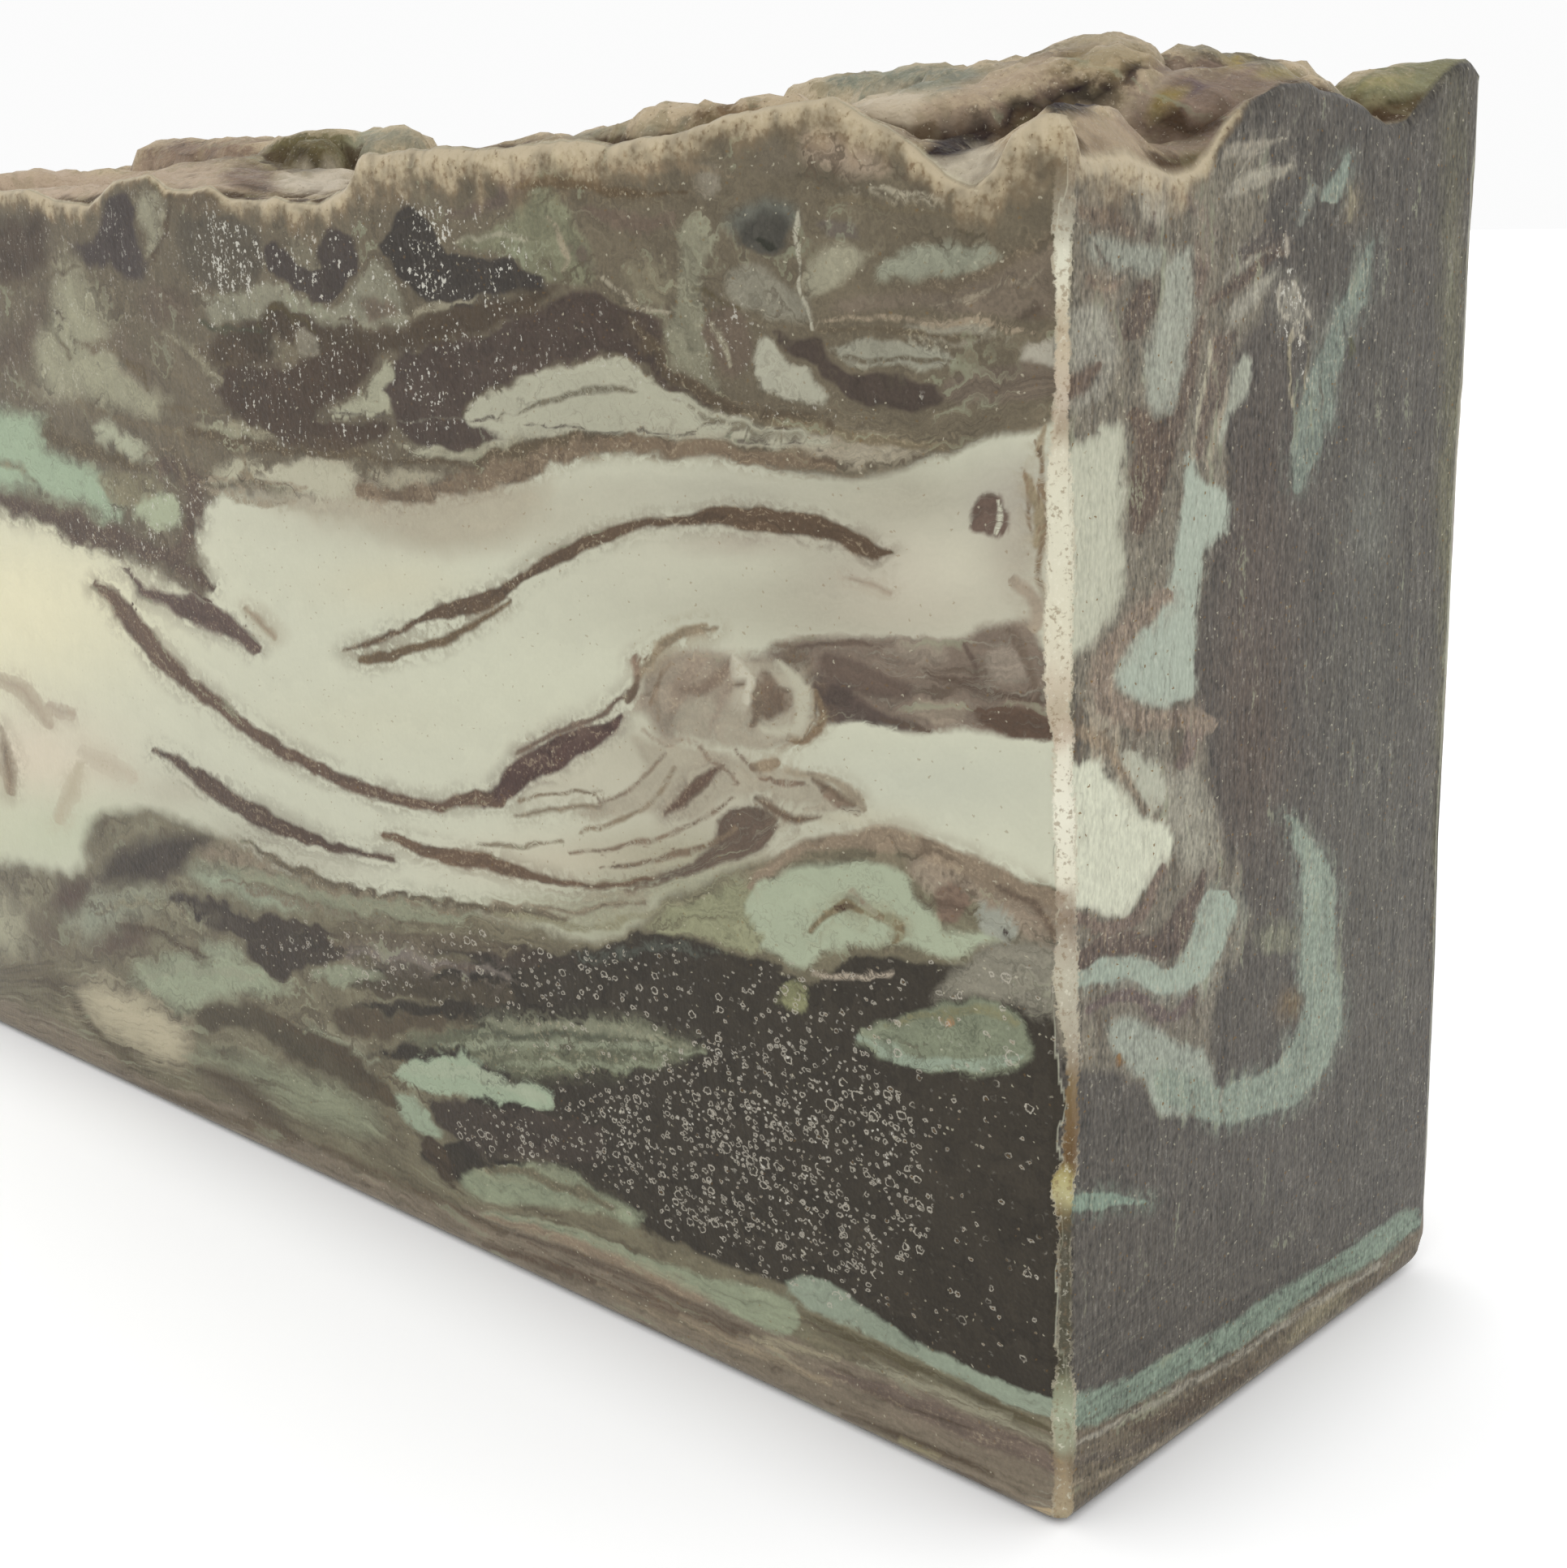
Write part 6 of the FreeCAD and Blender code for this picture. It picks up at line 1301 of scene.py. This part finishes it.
col = attr("ground", "Color")
f0 = None
for i in (0, 1, 2, 3, 4):
    f = attr("field%d" % i)
    tint = node("ShaderNodeAttribute", attribute_name="tint%d" % i, attribute_type="GEOMETRY")
    m_ = step(mul(add(f, mul(mul(ragged, tint.outputs["Alpha"]), (0.8, 1.0, 1.0, 1.0, 0.9)[i])), crisp), -1.0, (1.0, 1.0, 1.8, 1.4, 1.3)[i])
    if i >= 2:
        m_ = mul(m_, step(streak2, -0.25, 0.0, 0.72, 1.0))
    if i == 0:
        f0 = f
    col = mix(m_, col, tint.outputs["Color"])
    if i == 1:
        # brown, olive and pale soap folded through the stirred zones
        L = lightness(col)
        zone = mul(mul(step(f0, 0.0, 3.0), sub(1.0, is_end)), step(L, 0.42, 0.30))
        deep = step(L, 0.10, 0.18)
        col = mix(mul(mul(step(bands, -0.02, -0.10), zone), mul(deep, 0.85)), col, lin((88, 78, 69)))
        col = mix(mul(mul(step(bands, 0.05, 0.13), zone), mul(deep, 0.62)), col, lin((145, 144, 120)))
    if i in (3, 4):
        m_, gap = vein_mask(i - 3, 1.5)
        halo = mul(mul(step(gap, 24.0, 0.0), step(add(streak, mul(w2, 0.5)), -0.14, 0.12)), 0.4)
        vt = mix(step(add(streak2, fine), 0.05, 0.28, 0.0, 0.4), attr("vtint%d" % (i - 3), "Color"), lin((156, 144, 122)))
        col = mix(halo, col, vt)
        col = mix(m_, col, vt)
m_, gap = vein_mask(2, 1.1)
col = mix(mul(m_, step(streak2, -0.12, 0.06, 0.4, 1.0)), col, attr("vtint2", "Color"))

# how dark the soap is under the point decides how strong the streaks are
darkness = step(lightness(col), 0.42, 0.16)
gain = add(1.0, mul(streak, add(mul(darkness, 0.9), 0.10)))
gain = add(gain, mul(streak2, add(mul(darkness, 0.62), 0.07)))
gain = add(gain, mul(w1, add(mul(darkness, 0.30), 0.06)))
gain = add(gain, mul(fine, add(mul(darkness, 0.5), 0.06)))
gl = noise(scaled(pos, (4.4, 4.4, 1.7)), 1.0, 1.0, 0.6)
grit = noise(scaled(pos, (7.0, 7.0, 3.2)), 1.0, 1.0, 0.6)
gain = add(gain, mul(mul(add(mul(sub(gl, 0.5), 0.7), mul(sub(grit, 0.5), 1.5)), is_end), add(0.35, mul(darkness, 0.75))))
g = node("ShaderNodeVectorMath", operation="SCALE")
put(g.inputs[0], col)
put(g.inputs["Scale"], gain)
col = g.outputs[0]
drift = mul(mul(add(streak, mul(bands, -0.6)), darkness), step(lightness(col), 0.055, 0.11))
col = mix(step(drift, 0.10, 0.24, 0.0, 0.5), col, lin((146, 150, 126)))
col = mix(step(drift, -0.10, -0.22, 0.0, 0.5), col, lin((92, 80, 69)))

# bubbles: small round rings of paler soap with a dark middle
xyz = split(pos)
flat_u = add(mul(xyz[0], 0.8), mul(xyz[1], 0.9))
flat_v = add(xyz[2], mul(is_top, sub(mul(xyz[0], 0.5), mul(xyz[1], 0.6))))
bpos = vec(add(flat_u, mul(w2, 0.35)), add(flat_v, mul(fine, 0.25)), 0.0)
vc = cells(bpos, 1.55)
cr = split(vc.outputs["Color"], True)
want = mul(mul(cr[0], add(0.4, mul(cr[2], 0.6))), 0.42)     # radius of this bubble
ring = mul(step(math_("ABSOLUTE", sub(vc.outputs["Distance"], want)), 0.075, 0.018), step(want, 0.06, 0.12))
crowd = mul(k_ring, step(add(w1, mul(bands, 0.5)), -0.20, 0.10, 0.38, 0.80))
ring = mul(ring, step(cr[1], sub(1.0, crowd), sub(1.06, crowd)))
ring = mul(ring, step(add(w2, fine), -0.26, 0.02, 0.3, 1.0))
vc2 = cells(bpos, 3.3)
cr2 = split(vc2.outputs["Color"], True)
want2 = mul(cr2[0], 0.36)
ring2 = mul(step(math_("ABSOLUTE", sub(vc2.outputs["Distance"], want2)), 0.15, 0.03), step(want2, 0.04, 0.10))
ring2 = mul(ring2, step(cr2[1], sub(1.0, mul(crowd, 0.85)), sub(1.06, mul(crowd, 0.85))))
rings = math_("MAXIMUM", ring, mul(ring2, 0.8))
col = mix(mul(rings, 0.85), col, lin((180, 174, 160)))
# white specks: partly pale soap, partly painted glints
spot = mul(step(vc2.outputs["Distance"], 0.24, 0.08), mul(step(cr2[2], 0.80, 0.84), mul(k_ring, step(w1, -0.1, 0.12))))
col = mix(mul(spot, 0.85), col, lin((206, 202, 190)))

# ash specks and painted glints: short pale dashes that run down the cut
gset = mul(step(k_glint, 0.65, 1.0), 0.09)
gm = mul(mul(step(add(gl, mul(fine, 1.3)), sub(0.66, gset), sub(0.76, gset)), step(add(w1, w2), sub(-0.04, gset), sub(0.12, gset))), math_("MAXIMUM", math_("MINIMUM", mul(k_glint, 1.5), 1.0), mul(is_end, 0.16)))
col = mix(mul(gm, 0.85), col, lin((205, 202, 190)))
# grain and specks
spd = vc2.outputs["Distance"]
spm = mul(step(spd, 0.20, 0.08), step(cr2[1], 0.93, 0.95))
col = mix(mul(mul(spm, k_sharp), add(0.4, mul(is_end, 0.5))), col, lin((124, 98, 62)))
spm2 = mul(step(spd, 0.20, 0.08), step(cr2[1], 0.07, 0.05))
col = mix(mul(mul(spm2, k_sharp), mul(darkness, 0.6)), col, lin((188, 182, 160)))

# the trimmed upright edge: crumbly, with brown bits, and pale bits and a pale lip that are partly the soap's own colour
# and partly a painted highlight and glow of the translucent edge
edge = node("ShaderNodeAttribute", attribute_name="edge", attribute_type="GEOMETRY")
ev = add(edge.outputs["Alpha"], add(mul(w2, 4.0), mul(fine, 4.0)))
ecol = mix(mul(step(add(w2, fine), 0.06, 0.26), 0.55), edge.outputs["Color"], lin((132, 110, 84)))
ecol = mix(mul(step(add(w2, fine), -0.12, -0.30), 0.6), ecol, lin((228, 224, 204)))
col = mix(mul(step(ev, -0.9, 0.7), is_strip), col, ecol)
lip = mul(mul(step(math_("ABSOLUTE", ev), 0.9, 0.2), is_strip), step(w1, -0.06, 0.08))
col = mix(mul(lip, 0.6), col, lin((186, 178, 156)))

# the skin along the rim, and the crust on top with painted shade in its hollows and a painted highlight on its crests
dragv = sub(noise(scaled(pos, (1.1, 1.1, 0.3)), 1.0, 1.0, 0.6), 0.5)
reach = add(1.5, add(mul(dragv, 1.8), mul(w1, 2.6)))
rimk = mul(step(below, add(reach, 0.3), sub(reach, 1.6)), sub(1.0, is_top))
deepk = step(add(mul(math_("DIVIDE", below, math_("MAXIMUM", reach, 0.4)), 0.9), mul(w2, 1.6)), 0.25, 0.8)
skin = mix(deepk, lin((198, 182, 151)), lin((148, 126, 98)))
skin = mix(step(add(w2, mul(fine, 0.6)), 0.10, 0.30, 0.0, 0.55), skin, lin((134, 112, 84)))
skin = mix(step(fine, 0.15, 0.22, 0.0, 0.7), skin, lin((92, 70, 48)))
skin = mix(step(add(below, mul(w2, 1.6)), 0.6, 0.2, 0.0, 0.8), skin, lin((213, 198, 169)))
col = mix(mul(rimk, 0.8), col, skin)
relief_shading = sub(mul(attr("kind", "Alpha"), 2.0), 1.0)            # -1 in hollows, 1 on crests
crust_and_relief_light = add(0.25, mul(k_sharp, 0.75))
# painted shade in the hollows of the top
tcol = mix(mul(step(add(relief_shading, mul(w1, 1.2)), 0.06, -0.36), crust_and_relief_light), col, lin((88, 73, 58)))
# painted highlight on the crests of the top
tcol = mix(mul(step(add(relief_shading, add(mul(w2, 1.1), mul(w1, 0.9))), 0.18, 0.6, 0.0, 0.8), crust_and_relief_light), tcol, lin((208, 190, 160)))
tcol = mix(mul(step(w1, 0.02, 0.12, 0.0, 0.45), crust_and_relief_light), tcol, lin((132, 124, 96)))
tcol = mix(mul(step(fine, 0.13, 0.2, 0.0, 0.6), crust_and_relief_light), tcol, lin((96, 76, 56)))
tcol = mix(mul(step(fine, -0.14, -0.2, 0.0, 0.55), crust_and_relief_light), tcol, lin((232, 220, 196)))
col = mix(is_top, col, tcol)

# drag marks, pits, fine tooth
h2 = noise(pos, 3.4, 1.0, 0.62)
h3 = noise(scaled(pos, (4.0, 4.0, 0.7)), 1.0, 1.0, 0.6)
hh = add(mul(h2, add(0.4, mul(is_top, 1.6))), mul(h3, add(0.14, mul(is_end, 0.32))))
bump = node("ShaderNodeBump")
put(bump.inputs["Strength"], 0.55)
put(bump.inputs["Distance"], 0.00013)
put(bump.inputs["Height"], hh)

rough = add(0.42, mul(fine, 0.3))
rough = add(rough, mul(is_top, 0.14))
rough = add(rough, mul(darkness, -0.05))

bsdf = node("ShaderNodeBsdfPrincipled")
put(bsdf.inputs["Base Color"], col)
put(bsdf.inputs["Roughness"], rough)
put(bsdf.inputs["Normal"], bump.outputs[0])
put(bsdf.inputs["IOR"], 1.46)
put(bsdf.inputs["Specular IOR Level"], 0.2)
out = node("ShaderNodeOutputMaterial")
put(out.inputs["Surface"], bsdf.outputs[0])


# ------------------------------------------------------------------ the bar as one mesh
faces = [tuple(q) for q in Q.tolist()] + [tuple(t) for t in tris.tolist()]
mesh = bpy.data.meshes.new("soap_bar_looks")
mesh.from_pydata((V / 1000.0).tolist(), [], faces)
mesh.update()
mesh.validate()


def give(name, kind_, data):
    a = mesh.attributes.new(name, kind_, "POINT")
    key = {"FLOAT": "value", "FLOAT_VECTOR": "vector", "FLOAT_COLOR": "color"}[kind_]
    a.data.foreach_set(key, np.ascontiguousarray(data, dtype=np.float32).ravel())


def rgba(c):
    return np.concatenate([c, np.ones((len(c), 1))], 1)


give("ground", "FLOAT_COLOR", rgba(GROUND))
for i in (0, 1, 2, 3, 4):
    give("field%d" % i, "FLOAT", LV[i])
    give("tint%d" % i, "FLOAT_COLOR", np.concatenate([LC[i], RAG[i][:, None]], 1))
for s in range(VSETS):
    give("vein%d" % s, "FLOAT_VECTOR", np.stack([SIDE[s], RAD[s], GAP[s]], 1))
    give("vsoft%d" % s, "FLOAT", SOFT[s])
    give("vtint%d" % s, "FLOAT_COLOR", rgba(VC[s]))
give("flow", "FLOAT_VECTOR", np.stack([ALONG, ACROSS, STIR], 1))
give("masks", "FLOAT_COLOR", MASKS)
give("kind", "FLOAT_COLOR", KIND)
give("edge", "FLOAT_COLOR", np.concatenate([EDGEC, EDGEV[:, None]], 1))
for p in mesh.polygons:
    p.use_smooth = True
mesh.materials.append(mat)
bar = bpy.data.objects.new("soap_bar_looks", mesh)
bpy.context.scene.collection.objects.link(bar)
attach(bar, "root")
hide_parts("soap_bar")

# ------------------------------------------------------------------ pale floor
fm = bpy.data.meshes.new("floor")
S = 1.6
fm.from_pydata([(-S, -S, 0), (S, -S, 0), (S, S, 0), (-S, S, 0)], [], [(0, 1, 2, 3)])
floor = bpy.data.objects.new("floor", fm)
bpy.context.scene.collection.objects.link(floor)
fmat = bpy.data.materials.new("floor")
fmat.use_nodes = True
fb = fmat.node_tree.nodes["Principled BSDF"]
fb.inputs["Base Color"].default_value = (0.95, 0.95, 0.95, 1)
fb.inputs["Roughness"].default_value = 0.7
fb.inputs["Specular IOR Level"].default_value = 0.2
fb.inputs["Emission Color"].default_value = (1, 1, 1, 1)
fb.inputs["Emission Strength"].default_value = 0.27
# the floor glows white through its emission; near the bar the glow fades with ambient occlusion, a painted contact
# shadow
ao = fmat.node_tree.nodes.new("ShaderNodeAmbientOcclusion")     # the floor is overexposed white, but not right under the bar's edge
ao.samples = 1
ao.inputs["Distance"].default_value = 0.007
ramp = fmat.node_tree.nodes.new("ShaderNodeMapRange")
ramp.inputs["From Min"].default_value, ramp.inputs["From Max"].default_value = 0.5, 1.0
ramp.inputs["To Min"].default_value, ramp.inputs["To Max"].default_value = 0.0, 0.36
fmat.node_tree.links.new(ao.outputs["AO"], ramp.inputs["Value"])
fmat.node_tree.links.new(ramp.outputs["Result"], fb.inputs["Emission Strength"])
fm.materials.append(fmat)

# ------------------------------------------------------------------ soft studio light
world = bpy.data.worlds.new("studio")
bpy.context.scene.world = world
world.use_nodes = True
bg = world.node_tree.nodes["Background"]
bg.inputs["Color"].default_value = (1.0, 1.0, 1.0, 1)
bg.inputs["Strength"].default_value = 0.97


def lamp(name, at, to, size, power, colour=(1, 1, 1)):
    l = bpy.data.lights.new(name, "AREA")
    l.shape = "RECTANGLE"
    l.size, l.size_y = size
    l.energy = power
    l.color = colour
    o = bpy.data.objects.new(name, l)
    bpy.context.scene.collection.objects.link(o)
    a, t = np.array(at, float), np.array(to, float)
    f = (t - a) / np.linalg.norm(t - a)
    r = np.cross(f, (0, 0, 1.0))
    r /= np.linalg.norm(r)
    u = np.cross(r, f)
    M = np.eye(4)
    M[:3, 0], M[:3, 1], M[:3, 2], M[:3, 3] = r, u, -f, a
    o.matrix_world = Matrix(M.tolist())
    return o


lamp("key", (-0.16, -0.42, 0.42), (0, 0, 0.03), (0.34, 0.30), 0.29)
lamp("side", (0.45, 0.05, 0.30), (0.03, 0, 0.03), (0.25, 0.25), 0.07)

# ------------------------------------------------------------------ the photograph's camera
cam = bpy.data.cameras.new("camera")
cam.sensor_fit = "AUTO"
cam.sensor_width = 36.0
cam.lens = FOC * 36.0 / 1932.0
cam.clip_start = 0.005
co = bpy.data.objects.new("camera", cam)
bpy.context.scene.collection.objects.link(co)
M = np.eye(4)
M[:3, 0], M[:3, 1], M[:3, 2], M[:3, 3] = RIGHT, UP, -FWD, CAM / 1000.0
co.matrix_world = Matrix(M.tolist())
scene = bpy.context.scene
scene.camera = co
scene.view_settings.view_transform = "Standard"
scene.view_settings.look = "None"
scene.view_settings.exposure = 0.0
scene.view_settings.gamma = 1.0

cy = scene.cycles
cy.max_bounces, cy.diffuse_bounces, cy.glossy_bounces = 1, 1, 1
cy.transmission_bounces = cy.volume_bounces = cy.transparent_max_bounces = 0
cy.caustics_reflective = cy.caustics_refractive = False

bpy.context.view_layer.update()
